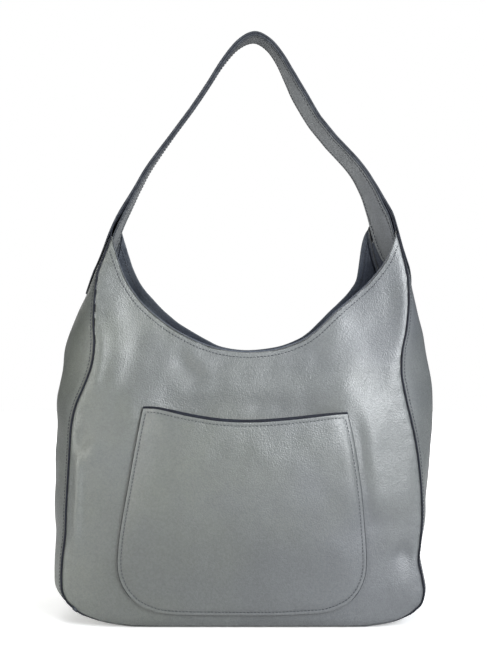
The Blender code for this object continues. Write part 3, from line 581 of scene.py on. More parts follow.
MAIN = (0.083, 0.090, 0.102)
WARM = (0.086, 0.095, 0.080)
PALE = (0.22, 0.235, 0.235)
DEEP = (0.041, 0.046, 0.051)
LEATHER = leather("bag_leather", MAIN, WARM, PALE, DEEP)
GUSSET_LEATHER = leather("gusset_leather", MAIN, WARM, PALE, DEEP, 0.42, crease=0.00024)
STRAP_LEATHER = leather(
    "strap_leather", (0.074, 0.080, 0.088), (0.079, 0.085, 0.083), PALE, DEEP, 0.56, 0.00012, 0.00020, 0.35)
# The strap's backing is a brightened copy of the strap leather: painted light on the inner face, which the
# lamps reach less.
STRAP_BACKING_LIT = leather(
    "strap_backing_painted_light", (0.205, 0.215, 0.238), (0.212, 0.220, 0.222), PALE, DEEP, 0.56, 0.00014,
    0.00030, 0.35)
# Leather inside the mouth: a darker, bluer copy of the bag leather, as painted shade and a painted blue
# reflection.
SHADED_INSIDE_LEATHER = leather(
    "inside_leather_painted_shade", (0.042, 0.053, 0.082), (0.053, 0.062, 0.076), (0.11, 0.12, 0.13),
    (0.016, 0.020, 0.034), 0.50, crease=0.00036, gloss=0.4)
# Near black: edge paint, also darkened to stand for the shadow in the seam and pocket-mouth gaps.
EDGE = painted_edge("painted_edge", (0.004, 0.005, 0.010), (0.010, 0.012, 0.020))
STRAP_EDGE = painted_edge("strap_painted_edge", (0.022, 0.025, 0.032), (0.048, 0.053, 0.062))
LINING = woven("lining_twill", (0.012, 0.015, 0.030), (0.040, 0.048, 0.080))
TAPE = woven("zip_tape_weave", (0.010, 0.012, 0.022), (0.030, 0.035, 0.055), 0.0008, 0.00012)
THREAD = thread_look()
NICKEL = metal()
BOARD = pressed_board()


# ---- meshes -----------------------------------------------------------------


def piece(name, points, faces, looks, indices=None, attributes=None):
    mesh = bpy.data.meshes.new(name)
    mesh.from_pydata(np.asarray(points).tolist(), [], faces)
    for look in looks:
        mesh.materials.append(look)
    if indices is not None:
        mesh.polygons.foreach_set("material_index", np.asarray(indices, np.int32))
    for key, values in (attributes or {}).items():
        layer = mesh.attributes.new(key, "FLOAT", "POINT")
        layer.data.foreach_set("value", np.asarray(values, np.float32))
    mesh.shade_smooth()
    made = bpy.data.objects.new(name, mesh)
    bpy.context.scene.collection.objects.link(made)
    return made


def grid_normals(points, outward):
    return unit(np.cross(np.gradient(points, axis=1), np.gradient(points, axis=0))) * outward


def grid_quads(rows, columns):
    index = np.arange(rows * columns).reshape(rows, columns)
    return index, np.stack([index[:-1, :-1], index[:-1, 1:], index[1:, 1:], index[1:, :-1]], -1)


def sheet(name, points, thickness, looks, outward=1, rings=3, attributes=None):
    """A closed sheet with rounded edges. points is its outer face as (rows, columns, 3).

    thickness is one number, or one for each row. looks are the materials of the face, the edge and
    the back, where fewer than three cover the rest. outward is 1 or -1, as the grid's normals face.
    """
    points = np.array(points, float)
    rows, columns = points.shape[:2]
    normals = grid_normals(points, outward)
    half = np.broadcast_to(np.reshape(thickness, (-1, 1)) / 2, (rows, columns))[..., None]
    middle = points - normals * half
    loop = [(0, j) for j in range(columns)] + [(i, columns - 1) for i in range(1, rows)]
    loop += [(rows - 1, j) for j in range(columns - 2, -1, -1)] + [(i, 0) for i in range(rows - 2, 0, -1)]
    loop = np.array(loop)
    rim = middle[loop[:, 0], loop[:, 1]]
    ahead, behind = np.roll(rim, -1, 0), np.roll(rim, 1, 0)
    rim_normals = normals[loop[:, 0], loop[:, 1]]
    out = unit(np.cross(unit(ahead - behind), rim_normals)) * outward
    rim_half = half[loop[:, 0], loop[:, 1]]
    rim = rim - out * rim_half
    middle[loop[:, 0], loop[:, 1]] = rim
    stacks = [(middle + normals * half).reshape(-1, 3), (middle - normals * half).reshape(-1, 3)]
    for k in range(1, rings + 1):
        angle = math.pi * k / (rings + 1)
        stacks.append(rim + (rim_normals * math.cos(angle) + out * math.sin(angle)) * rim_half)
    total = rows * columns
    count = len(loop)
    index, quads = grid_quads(rows, columns)
    quads = quads.reshape(-1, 4)
    first = index[loop[:, 0], loop[:, 1]]
    chain = [first] + [2 * total + k * count + np.arange(count) for k in range(rings)] + [first + total]
    sides = [np.stack([np.roll(a, -1), a, b, np.roll(b, -1)], -1) for a, b in zip(chain, chain[1:])]
    sides = np.vstack(sides)
    faces = np.vstack([quads, quads[:, ::-1] + total, sides])
    if outward < 0:
        faces = faces[:, ::-1]
    indices = None
    if len(looks) > 1:
        indices = np.concatenate([np.zeros(2 * len(quads)), np.ones(len(sides))])
    if len(looks) > 2:
        indices[len(quads) : 2 * len(quads)] = 2
    values = {}
    for key, grid in (attributes or {}).items():
        flat = np.asarray(grid, float).reshape(-1)
        values[key] = np.concatenate([flat, flat] + [flat[first]] * rings)
    return piece(name, np.vstack(stacks), faces.tolist(), looks, indices, values)


def frames(path):
    """Unit tangents along a polyline of 3-D points, and two steady directions across it."""
    along = unit(np.gradient(path, axis=0))
    side = np.zeros_like(path)
    start = np.cross(along[0], (0.31, 0.87, 0.22))
    side[0] = start / np.linalg.norm(start)
    for k in range(1, len(path)):
        moved = side[k - 1] - along[k] * (side[k - 1] @ along[k])
        side[k] = moved / np.linalg.norm(moved)
    return along, side, np.cross(along, side)


def rod(name, path, radius, look, sides=10):
    """A round tube with domed ends. radius is one number, or one for each point."""
    path = np.array(path, float)
    radius = np.broadcast_to(radius, (len(path),))
    along, a, b = frames(path)
    start, end = path[0] - along[0] * radius[0] * 0.5, path[-1] + along[-1] * radius[-1] * 0.5
    path = np.vstack([start, path, end])
    a, b = np.vstack([a[:1], a, a[-1:]]), np.vstack([b[:1], b, b[-1:]])
    radii = np.concatenate([radius[:1] * 0.55, radius, radius[-1:] * 0.55])
    turn = 2 * math.pi * np.arange(sides) / sides
    ring = np.cos(turn)[None, :, None] * a[:, None] + np.sin(turn)[None, :, None] * b[:, None]
    points = (path[:, None] + ring * radii[:, None, None]).reshape(-1, 3)
    faces = []
    for i in range(len(path) - 1):
        for k in range(sides):
            p, q = i * sides + k, i * sides + (k + 1) % sides
            faces.append((p, q, q + sides, p + sides))
    faces.append(tuple(range(sides))[::-1])
    faces.append(tuple(len(points) - sides + k for k in range(sides)))
    return piece(name, points, faces, [look])


def even_steps(path, pitch):
    total = lengths(path)[-1]
    count = max(2, int(round(total / pitch)))
    return (np.arange(count) + 0.5) / count * total


def thread(name, rows, stand=0.15):
    """Rows of stitches, as short thread bars lying half in the surface.

    Each row is (path, normals). stand is how many thread radii their middle lies above the surface.
    """
    sides, radius = 6, THREAD_RADIUS
    turn = 2 * math.pi * np.arange(sides) / sides
    profile = ((-0.5, 0.45), (-0.36, 0.95), (0.36, 0.95), (0.5, 0.45))
    points, faces = [], []
    base = 0
    for path, normals in rows:
        path, normals = np.array(path, float), np.array(normals, float)
        places = even_steps(path, STITCH_PITCH)
        centre = at_length(path, places)
        reached = lengths(path)
        normal = unit(np.stack([np.interp(places, reached, normals[:, k]) for k in range(3)], -1))
        along = unit(at_length(path, places + 0.0006) - at_length(path, places - 0.0006))
        across = unit(np.cross(along, normal))
        slant = unit(along + 0.10 * across)
        across = unit(np.cross(slant, normal))
        for c, n, s, w in zip(centre, normal, slant, across):
            for share, size in profile:
                height = radius * (stand if abs(share) < 0.4 else stand - 0.85)
                hub = c + s * share * STITCH_LENGTH + n * height
                points.extend(hub + radius * size * (math.cos(t) * w + math.sin(t) * n) for t in turn)
            for i in range(3):
                for k in range(sides):
                    p, q = base + i * sides + k, base + i * sides + (k + 1) % sides
                    faces.append((p, p + sides, q + sides, q))
            faces.append(tuple(base + k for k in range(sides)))
            faces.append(tuple(base + 3 * sides + k for k in reversed(range(sides))))
            base += 4 * sides
    return piece(name, points, faces, [THREAD])


def inset_line(line, distance, trim):
    """A polyline moved sideways (to its left), resampled evenly, with its ends trimmed."""
    even = at_length(line, np.linspace(trim, lengths(line)[-1] - trim, 260))
    along = unit(np.gradient(even, axis=0))
    kernel = np.ones(7) / 7
    for k in range(2):
        padded = np.pad(along[:, k], 3, mode="edge")
        along[:, k] = np.convolve(padded, kernel, "valid")
    along = unit(along)
    return even + np.stack([-along[:, 1], along[:, 0]], -1) * distance


def on_surface(line, surface, face):
    """A flat line laid on a surface, with its normals."""
    x, z = line[:, 0], line[:, 1]
    return xyz(x, surface(x, z), z), surface_normal(face, x, z, surface)


# ---- bag shell --------------------------------------------------------------

# How much shade is painted at each height near the base
LOW_SHADE = ((0.0, 0.28), (0.03, 0.42), (0.06, 0.46), (0.09, 0.27), (0.115, 0.12), (0.15, 0.0))


def low_shade(x, z):
    """Painted shade: darker towards the base, less so near the sides."""
    middle = smooth((x + 0.150) / 0.050) * (1 - 0.80 * smooth((x - 0.020) / 0.090))
    return lookup(LOW_SHADE, z) * (0.16 + 0.84 * middle)


def panel_outline(face, us, vs):
    return coons(BOTTOM, LIPS[face], SEAMS[face, -1], SEAMS[face, 1], us, vs)


def make_panels():
    for face, name in ((-1, "front"), (1, "back")):
        flat = panel_outline(face, shares(0.05, 0.95, 9, 150), shares(0.03, 0.985, 5, 130))
        x, z = flat[..., 0], flat[..., 1]
        seam_gap, _ = nearest(x, z, SEAM_LINES[face])
        lip_gap, _ = nearest(x, z, LIPS[face][::4])
        lift = folds(face, x, z) / 0.0040
        low = smooth((z - 0.020) / 0.030)
        # pale on raised folds and beside the seams as painted highlights, and along the lip as wear and a
        # painted highlight
        wear_and_highlight = 0.45 * lift.clip(0, 1) + 0.30 * low * bell(seam_gap, 0.0032, 0.0022)
        wear_and_highlight = wear_and_highlight + 0.45 * np.exp(-lip_gap / 0.0020)
        # painted shade in the seam and lip gaps, along the lip's stitch row, in fold hollows and towards
        # the base
        painted_shade = 0.55 * np.exp(-seam_gap / 0.0006) + 0.8 * np.exp(-lip_gap / 0.0004)
        painted_shade = painted_shade + 0.16 * bell(lip_gap, LIP_STITCH, 0.0007)
        painted_shade = painted_shade + 0.12 * (-lift).clip(0, 1) + low_shade(x, z)
        panel = sheet(
            f"{name}_leather", xyz(x, panel_y(face, x, z), z), PANEL_THICK,
            [LEATHER, LEATHER, SHADED_INSIDE_LEATHER], -face,
            attributes={"wear_and_highlight": wear_and_highlight.clip(0, 1), "painted_shade": painted_shade.clip(0, 1)})
        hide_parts(f"{name}_panel")
        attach(panel, BAG)


def facing_y(face, x, z, depth=FACING_THICK):
    """y at a depth behind the gap between a panel and its facing."""
    return panel_y(face, x, z) - face * (PANEL_THICK + 0.0003 + depth)


def make_facings():
    us, vs = np.linspace(0.018, 0.982, 140), np.linspace(0.872, 1.0, 18)
    for face, name in ((-1, "front"), (1, "back")):
        flat = panel_outline(face, us, vs)
        flat[-1] += unit(flat[-1] - flat[-2]) * FACING_RISE
        x, z = flat[..., 0], flat[..., 1]
        inner = xyz(x, facing_y(face, x, z), z)
        lip_gap, _ = nearest(x, z, LIPS[face][::4])
        # the facing's top edge is pale: partly wear, partly a painted highlight on its rounded edge
        facing = sheet(
            f"{name}_facing", inner, FACING_THICK, [SHADED_INSIDE_LEATHER], face,
            attributes={"wear_and_highlight": 0.7 * np.exp(-lip_gap / 0.0016), "painted_shade": np.zeros(x.shape)})
        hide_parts(f"facing_{name}")
        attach(facing, BAG)


GUSSET_ZS = np.concatenate([np.linspace(0.0165, 0.03, 10)[:-1], np.linspace(0.03, 0.333, 150)])


def gusset_grid(hand, columns=44):
    z = GUSSET_ZS[:, None]
    t = np.linspace(-1, 1, columns)
    y = (lookup(SEAM_DEPTH, z) + 0.0003) * np.sign(t) * (1 - (1 - np.abs(t)) ** 1.15)
    return xyz(gusset_x(hand, y, z), y, z)


def make_gussets():
    for hand, name in ((-1, "left"), (1, "right")):
        grid = gusset_grid(hand)
        gap = lookup(SEAM_DEPTH, grid[..., 2]) - np.abs(grid[..., 1])
        # pale beside the seams as a painted highlight on the rolled edge; painted shade in the seam gap and
        # towards the base
        wear_and_highlight = 0.25 * bell(gap, 0.003, 0.002)
        painted_shade = 0.6 * np.exp(-gap / 0.0007) + low_shade(grid[..., 0], grid[..., 2])
        gusset = sheet(
            f"{name}_gusset_leather", grid, GUSSET_THICK, [GUSSET_LEATHER, GUSSET_LEATHER, SHADED_INSIDE_LEATHER],
            hand, attributes={"wear_and_highlight": wear_and_highlight, "painted_shade": painted_shade.clip(0, 1)})
        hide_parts(f"gusset_{name}")
        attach(gusset, BAG)


def make_base():
    x, z = at_share(BOTTOM, np.linspace(0, 1, 150)).T
    y = np.linspace(-1, 1, 50)[:, None] * BASE_HALF_DEPTH
    end = smooth((np.abs(x) - 0.090) / 0.05)
    edge = np.exp(-((BASE_HALF_DEPTH - np.abs(y)) / 0.003)) + 0 * x
    z = np.maximum(z - 0.0022 - 0.0015 * end * (1 - (y / BASE_HALF_DEPTH) ** 2) + 0.0005 * edge, 0.0)
    base = sheet(
        "base_leather", xyz(x, y, z), 0.0020, [GUSSET_LEATHER], -1,
        attributes={"wear_and_highlight": 0.35 * edge, "painted_shade": 0 * edge})
    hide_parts("base_panel")
    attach(base, BAG)


def make_piping():
    for face, name in ((-1, "front"), (1, "back")):
        line = whole_seam(face)
        line = at_length(line, np.linspace(0.003, lengths(line)[-1] - 0.003, 420))
        along = unit(np.gradient(line, axis=0))
        outward = np.stack([along[:, 1], -along[:, 0]], -1)
        outward = outward * np.sign((outward @ np.array([0.0, -1.0]))[len(line) // 2])
        under = smooth((0.0140 - line[:, 1]) / 0.0110)
        line = line + outward * (PIPING_RADIUS * 0.5 * (1 - under))[:, None]
        y = face * (lookup(SEAM_DEPTH, line[:, 1]) + 0.0004 - 0.0026 * under)
        path = xyz(line[:, 0], y, np.maximum(line[:, 1], PIPING_RADIUS))
        # the near-black piping is edge paint and also the painted shadow in the seam's gap
        piping = rod(f"{name}_piping", path, PIPING_RADIUS, EDGE)
        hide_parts(f"seam_welt_{name}")
        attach(piping, BAG)


def make_lip_thread():
    rows = []
    for face in (-1, 1):
        line = inset_line(LIPS[face], -LIP_STITCH, 0.012)
        rows.append(on_surface(line, partial(panel_y, face), face))
        points, normals = on_surface(line, partial(facing_y, face), face)
        rows.append((points, -normals))
    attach(thread("lip_thread", rows), BAG)


def make_gusset_thread():
    rows = []
    for hand in (-1, 1):
        grid = gusset_grid(hand)[4:-1]
        normals = grid_normals(grid, hand)
        for columns in (slice(None), slice(None, None, -1)):
            line, across = [], []
            for points, normal in zip(grid[:, columns], normals[:, columns]):
                line.append(at_length(points, GUSSET_STITCH))
                across.append(normal[3])
            rows.append((np.array(line), np.array(across)))
    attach(thread("gusset_thread", rows), BAG)


# ---- patch pocket -----------------------------------------------------------

POCKET_SIDES = {-1: dense(POCKET_LEFT), 1: dense(POCKET_RIGHT)}
POCKET_BOTTOM_LINE, POCKET_TOP_LINE = dense(POCKET_BASE), dense(POCKET_TOP)
POCKET_SEWN = np.vstack([POCKET_SIDES[-1][::-1], POCKET_BOTTOM_LINE[1:-1], POCKET_SIDES[1]])


def pocket_y(x, z):
    """Outer face of the patch pocket: it hugs the panel at its sewn edge and stands off at its mouth."""
    away, _ = nearest(x, z, POCKET_SEWN[::3])
    top = np.interp(x, POCKET_TOP_LINE[:, 0], POCKET_TOP_LINE[:, 1])
    left = np.interp(z, POCKET_SIDES[-1][:, 1], POCKET_SIDES[-1][:, 0])
    right = np.interp(z, POCKET_SIDES[1][:, 1], POCKET_SIDES[1][:, 0])
    across = np.clip(np.abs((2 * x - left - right) / (right - left)), 0, 1)
    height = np.clip((z - 0.012) / 0.165, 0, 1.05)
    room = POCKET_ROOM * (1 - across**3.2) * smooth(height) ** 0.8
    top_gap = np.abs(top - z)
    rim = 0.0003 * np.maximum(bell(away, 0.0018, 0.0014), bell(top_gap, 0.0018, 0.0014))
    groove = 0.0003 * bell(np.minimum(away, top_gap), POCKET_STITCH, 0.0009)
    soft = 0.0008 * (1 - np.exp(-away / 0.010))
    uneven = 0.0005 * drift(x, z, 0.09, 21) * smooth(away / 0.02)
    level = panel_y(-1, x, z) + FOLD_DEPTH * mouth_hollow(x, z) * smooth(away / 0.012)
    return level - (POCKET_EDGE_STAND + POCKET_THICK + room + rim - groove + soft + uneven)


def pocket_outline(us, vs):
    flat = coons(POCKET_BOTTOM_LINE, POCKET_TOP_LINE, POCKET_SIDES[-1], POCKET_SIDES[1], us, vs)
    return flat[..., 0], flat[..., 1]


def make_pocket():
    x, z = pocket_outline(shares(0.05, 0.95, 10, 110), shares(0.05, 0.95, 9, 86))
    away, _ = nearest(x, z, POCKET_SEWN[::3])
    top_gap, _ = nearest(x, z, POCKET_TOP_LINE)
    edge = np.minimum(away, top_gap)
    # painted highlight on the pocket's upper corners
    painted_corner_highlight = bell(np.abs(x), 0.083, 0.010) * smooth((z - 0.13) / 0.05)
    # pale along the edge: wear and a painted highlight on the folded edge
    wear_and_highlight = 0.30 * bell(edge, 0.0012, 0.0014) + 0.25 * painted_corner_highlight
    # painted shade along the stitch rows, a painted dark outline for the shadow round the edge, and painted
    # shade towards the base
    painted_shade = 0.22 * bell(edge, POCKET_STITCH, 0.0008) + 0.9 * np.exp(-edge / 0.00035) + low_shade(x, z)
    # the near-black rim is edge paint and also stands for the thin shadow round the pocket
    pocket = sheet(
        "pocket_leather", xyz(x, pocket_y(x, z), z), POCKET_THICK, [LEATHER, EDGE], 1,
        attributes={"wear_and_highlight": wear_and_highlight.clip(0, 1), "painted_shade": painted_shade.clip(0, 1)})
    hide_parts("front_pocket")
    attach(pocket, BAG)
    x, z = pocket_outline(np.linspace(0.035, 0.965, 60), np.linspace(0.04, 1.0, 50))
    behind = xyz(x, pocket_y(x, z) + POCKET_THICK + 0.0002, z)
    cloth = sheet("pocket_cloth", behind, CLOTH_THICK, [LINING])
    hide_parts("front_pocket_lining")
    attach(cloth, BAG)
    # The dark bead along the mouth is edge paint and, thickened in the middle, the painted shadow in the
    # pocket's mouth.
    x, z = at_length(POCKET_TOP_LINE, np.linspace(0.0008, lengths(POCKET_TOP_LINE)[-1] - 0.0008, 160)).T
    bead = xyz(x, pocket_y(x, z - 0.0006) + 0.0010, z + 0.0002)
    middle = 1 - np.abs(np.linspace(-1, 1, 160))
    rim = rod("pocket_edge_paint_and_shadow", bead, 0.0008 + 0.0007 * smooth(middle / 0.4), EDGE)
    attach(rim, BAG)
    around = inset_line(POCKET_SEWN, POCKET_SIDE_STITCH, 0.0040)
    across = inset_line(POCKET_TOP_LINE, -POCKET_STITCH, 0.0035)
    rows = [on_surface(line, pocket_y, -1) for line in (around, across)]
    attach(thread("pocket_thread", rows), BAG)


# ---- shoulder strap ---------------------------------------------------------


def strap_rows(ends, pointed, spread_low, sign):
    """(rows, columns, 3) middle surface of one strap layer, from its left end over the top to its right.

    ends holds the height of each end, pointed tapers them, spread_low is how far the layer lies from
    the gussets' middle, and sign is 1 for the outer layer, -1 for the inner one and 0 for the core.
    """
    control = dense(STRAP_PATH, 14)
    path = at_share(control, np.linspace(0, 1, STRAP_ROWS))
    centre = xyz(path[:, 0], 0.0, path[:, 1])
    along = unit(np.gradient(centre, axis=0))
    inward = xyz(along[:, 2], 0.0, -along[:, 0])
    turn = np.radians(path[:, 2])[:, None]
    front = np.array([[0.0, -1.0, 0.0]])
    width = -(np.cos(turn) * front - np.sin(turn) * inward)
    outer = -(np.cos(turn) * inward + np.sin(turn) * front)
    share = np.linspace(-1, 1, STRAP_COLUMNS)
    loop = centre[:, None] + width[:, None] * (share * STRAP_HALF_WIDTH)[None, :, None]
    close = smooth((path[:, 1] - 0.350) / 0.030)[:, None, None]
    offset = spread_low * (1 - close) + STRAP_LEATHER_THICK * 0.51 * close
    crown = 0.0004 * (1 - share**2)[None, :, None]
    loop = loop + outer[:, None] * sign * (offset + crown)
    down = {}
    for hand, tip in ends.items():
        z = (tip + (STRAP_JOIN - tip) * np.linspace(0, 1, 28) ** 1.1)[:, None]
        half = STRAP_HALF_WIDTH
        if pointed:
            half = half * np.minimum(1.0, 0.10 + 0.90 * ((z - tip) / TAB_SHOULDER_RISE) ** 0.85)
        y = share * half
        down[hand] = xyz(gusset_x(hand, y, z) + hand * (sign * spread_low - GUSSET_THICK / 2), y, z)
    return np.vstack([down[-1], loop, down[1][::-1]])


def relax(grid, low):
    """Evens out the rows of a strap between two heights, where its ends meet its loop."""
    z = grid[:, STRAP_COLUMNS // 2, 2]
    weight = (smooth((z - low) / 0.006) * smooth((STRAP_CALM - z) / 0.006))[:, None, None]
    for _ in range(30):
        moved = grid.copy()
        moved[1:-1] = (grid[:-2] + grid[2:]) / 2
        grid = grid * (1 - weight * 0.8) + moved * weight * 0.8
    return grid


def facing_out(grid):
    """1 if the normals of a strap grid point away from the bag at the strap's top, else -1."""
    normals = grid_normals(grid, 1)
    return 1 if normals[len(grid) // 2, STRAP_COLUMNS // 2, 2] > 0 else -1


def bend_with_strap(made):
    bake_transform(made)


def make_strap():
    layers = (
        ("outer", TAB_TIP, 0.0021, 1, STRAP_LEATHER, -0.6, "tab"),
        ("inner", TAIL_TIP, 0.0026, -1, STRAP_BACKING_LIT, 0.5, "tail"),
    )
    edge = STRAP_HALF_WIDTH * (1 - np.abs(np.linspace(-1, 1, STRAP_COLUMNS)))
    stitched = []
    for name, ends, low, sign, look, stand, end in layers:
        grid = relax(strap_rows(ends, True, low, sign), 0.326)
        outward = facing_out(grid)
        outer = grid_normals(grid, outward * sign)
        z = grid[:, STRAP_COLUMNS // 2, 2]
        thick = TAB_LEATHER_THICK + (STRAP_LEATHER_THICK - TAB_LEATHER_THICK) * smooth((z - 0.340) / 0.022)
        surface = grid + outer * thick[:, None, None] / 2
        # pale along the edges: wear and a painted highlight; painted shade along the stitch rows
        wear_and_highlight = np.tile(0.5 * np.exp(-edge / 0.0016), (len(grid), 1))
        painted_shade = np.tile(0.30 * bell(edge, STRAP_STITCH, 0.0009), (len(grid), 1))
        # painted shade on the inner face, strongest under the strap's top where it faces down
        if sign < 0:
            painted_top_shade = 0.03 * smooth((z - 0.30) / 0.10) + 0.55 * smooth((z - 0.455) / 0.045)
            painted_shade = painted_shade + painted_top_shade[:, None]
        strap = sheet(
            f"strap_{name}_leather", surface, thick, [look, STRAP_EDGE], outward * sign,
            attributes={"wear_and_highlight": wear_and_highlight, "painted_shade": painted_shade})
        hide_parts(f"strap_{name}", f"strap_{end}_left", f"strap_{end}_right")
        bend_with_strap(strap)
        wide = np.array([lengths(points)[-1] >= 0.012 for points in surface])
        rows = []
        for way in (1, -1):
            points, normals = surface[wide, ::way], outer[wide, ::way]
            rows.append((np.array([at_length(row, STRAP_STITCH) for row in points]), normals[:, 2]))
        stitched.append((f"strap_{name}_thread", rows, stand))
    grid = relax(strap_rows(CORE_TIP, False, 0.0, 0), 0.334)
    middle = grid[:, STRAP_COLUMNS // 2][:, None]
    grid = middle + (grid - middle) * 0.985
    outward = facing_out(grid)
    core = sheet(
        "strap_core_edge", grid + grid_normals(grid, outward) * 0.0008, 0.0016, [EDGE], outward)
    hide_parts("strap_core")
    bend_with_strap(core)
    for name, rows, stand in stitched:
        bend_with_strap(thread(name, rows, stand=stand))


# ---- lining -----------------------------------------------------------------

LINING_DEPTH = 0.034
LINING_FLOOR = 0.0095
LINING_XS = np.linspace(-0.118, 0.118, 96)
LINING_TOPS = ((-0.118, 0.283), (-0.098, 0.258), (-0.074, 0.234), (-0.040, 0.215), (0.0, 0.2085),
               (0.040, 0.215), (0.074, 0.234), (0.098, 0.258), (0.118, 0.283))


def lining_y(face, x, z):
    """y of the inner face of the front or back lining, flat round the zip's window."""
    clear = PANEL_THICK + FACING_THICK + 0.0003 + CLOTH_THICK + 0.0012
    against = np.abs(panel_y(face, x, z)) - clear
    wrinkle = 0.0009 * drift(x, z, 0.05, 11 + face) + 0.0004 * drift(x, z, 0.018, 14 + face)
    window = np.maximum(np.abs(x - 0.001) - 0.078, np.abs(z - 0.125) - 0.016)
    calm = smooth(window / 0.015) if face > 0 else 1.0
    return face * np.minimum(LINING_DEPTH - 0.0004 * calm + wrinkle * calm, against)


def lean(z):
    """How far the lining moves to the right with the bag, higher up."""
    return 0.0085 * smooth((z - 0.12) / 0.22)


def lining_top(x):
    return np.interp(x, *dense(LINING_TOPS).T) + 0.002


def make_linings():
    share = np.linspace(0, 1, 90)[:, None]
    z = LINING_FLOOR + (lining_top(LINING_XS) - LINING_FLOOR) * share
    x = LINING_XS + lean(z)
    made = sheet("front_lining", xyz(x, lining_y(-1, x, z), z), CLOTH_THICK, [LINING], -1)
    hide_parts("lining_front")
    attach(made, BAG)
    make_back_lining()
    for hand, name in ((-1, "left"), (1, "right")):
        z = np.linspace(LINING_FLOOR, 0.331, 110)[:, None]
        half = np.minimum(lookup(SEAM_DEPTH, z) - 0.0042, LINING_DEPTH - 0.0010)
        y = np.linspace(-1, 1, 26) * half
        wall = hand * 0.1202 + lean(z)
        against = gusset_x(hand, y, z) - hand * (GUSSET_THICK + 0.0010)
        climb = smooth((z - 0.215) / 0.065)
        wrinkle = hand * 0.0010 * drift(y, z, 0.03, 30 + hand) * (1 - smooth((z - 0.27) / 0.03))
        x = wall * (1 - climb) + against * climb + wrinkle * (1 - climb * 0.6)
        made = sheet(f"{name}_lining", xyz(x, y, z), CLOTH_THICK, [LINING], -hand)
        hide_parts(f"lining_{name}")
        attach(made, BAG)
    x, y = np.meshgrid(np.linspace(-0.118, 0.118, 80), np.linspace(-0.0330, 0.0330, 28))
    z = 0.0066 + 0.0006 * (1 + drift(x, y, 0.04, 44)) / 2
    made = sheet("base_lining", xyz(x, y, z), CLOTH_THICK, [LINING])
    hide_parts("lining_base")
    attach(made, BAG)


def make_back_lining():
    """The back lining has a window for the zip, so it is made as one grid with a hole."""
    low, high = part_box("zip_frame")
    # the frame laps over the cloth round the window
    left, right, sill, head = low.x + 0.0068, high.x - 0.0068, low.z + 0.0062, high.z - 0.0062
    beside = LINING_XS[(LINING_XS < left - 0.001) | (LINING_XS > right + 0.001)]
    xs = np.unique(np.concatenate([beside, np.linspace(left, right, 56)]))
    below = np.append(np.linspace(LINING_FLOOR, sill, 36), head)[:, None] + 0 * xs
    z = np.vstack([below, head + (lining_top(xs) - head) * np.linspace(0, 1, 44)[1:, None]])
    x = xs + lean(z) * smooth(np.maximum(np.abs(xs) - 0.078, z - 0.142) / 0.02)
    hole = (len(below) - 2, *np.searchsorted(xs, (left, right)))
    made = holed_sheet("back_lining", xyz(x, lining_y(1, x, z), z), CLOTH_THICK, *hole)
    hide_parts("lining_back")
    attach(made, BAG)


def holed_sheet(name, points, thickness, row, first, last):
    """A closed cloth sheet whose cells in one row, from column first to last, are left out."""
    rows, columns = points.shape[:2]
    normals = grid_normals(points, 1)
    stacks = np.vstack([points.reshape(-1, 3), (points - normals * thickness).reshape(-1, 3)])
    total = rows * columns
    _, quads = grid_quads(rows, columns)
    keep = np.ones(quads.shape[:2], bool)
    keep[row, first:last] = False
    quads = quads[keep]
    edges = {}
    for quad in quads:
        for a, b in zip(quad, np.roll(quad, -1)):
            edges.setdefault((min(a, b), max(a, b)), []).append((a, b))
    sides = [(b, a, a + total, b + total) for found in edges.values() if len(found) == 1 for a, b in found]
    faces = np.vstack([quads, quads[:, ::-1] + total, np.array(sides)])
    return piece(name, stacks, faces.tolist(), [LINING])


# ---- closure, zip and other small parts -------------------------------------


def rectangle(low, high, inset_x, inset_z, count):
    """Points round a box seen from the front, a little inside it."""
    left, right, bottom, top = low.x + inset_x, high.x - inset_x, low.z + inset_z, high.z - inset_z
    corners = ((left, bottom), (right, bottom), (right, top), (left, top), (left, bottom))
    return at_share(np.array(corners), np.linspace(0, 1, count))


def on_plane(line, y, sign):
    """A flat line at depth y, with normals along Y."""
    return xyz(line[:, 0], y, line[:, 1]), np.tile((0.0, sign, 0.0), (len(line), 1))


def make_tab():
    """The closure tab: two leathers with a rounded lower end, sewn together."""
    low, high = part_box("closure_tab")
    back_low, back_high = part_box("closure_tab_backing")
    x, half, length = (low.x + high.x) / 2, (high.x - low.x) / 2, high.z - low.z
    drop = np.linspace(0, 1, 34)[:, None] * length
    over = np.maximum(0.0, drop - (length - half)) / half
    reach = half * np.sqrt(np.maximum(0.03, 1 - over**2))
    across = x + np.linspace(-1, 1, 15) * reach
    for name, node_name, y, thickness, outward in (
            ("closure_tab_leather", "closure_tab", low.y, high.y - low.y, -1),
            ("closure_tab_lining", "closure_tab_backing", back_high.y, back_high.y - back_low.y, 1)):
        made = sheet(
            name, xyz(across, y, high.z - drop), thickness, [STRAP_LEATHER, EDGE], outward)
        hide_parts(node_name)
        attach(made, CLOSURE)
    inset = half - 0.0024
    turn = np.linspace(0, math.pi, 30)
    bottom = high.z - (length - half)
    outline = [(x - inset, high.z - 0.006)]
    outline += [(x - inset * math.cos(t), bottom - inset * math.sin(t)) for t in turn]
    outline += [(x + inset, high.z - 0.006)]
    line = at_share(np.array(outline), np.linspace(0, 1, 120))
    rows = [on_plane(line, low.y, -1.0), on_plane(line, back_high.y, 1.0)]
    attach(thread("closure_thread", rows), CLOSURE)


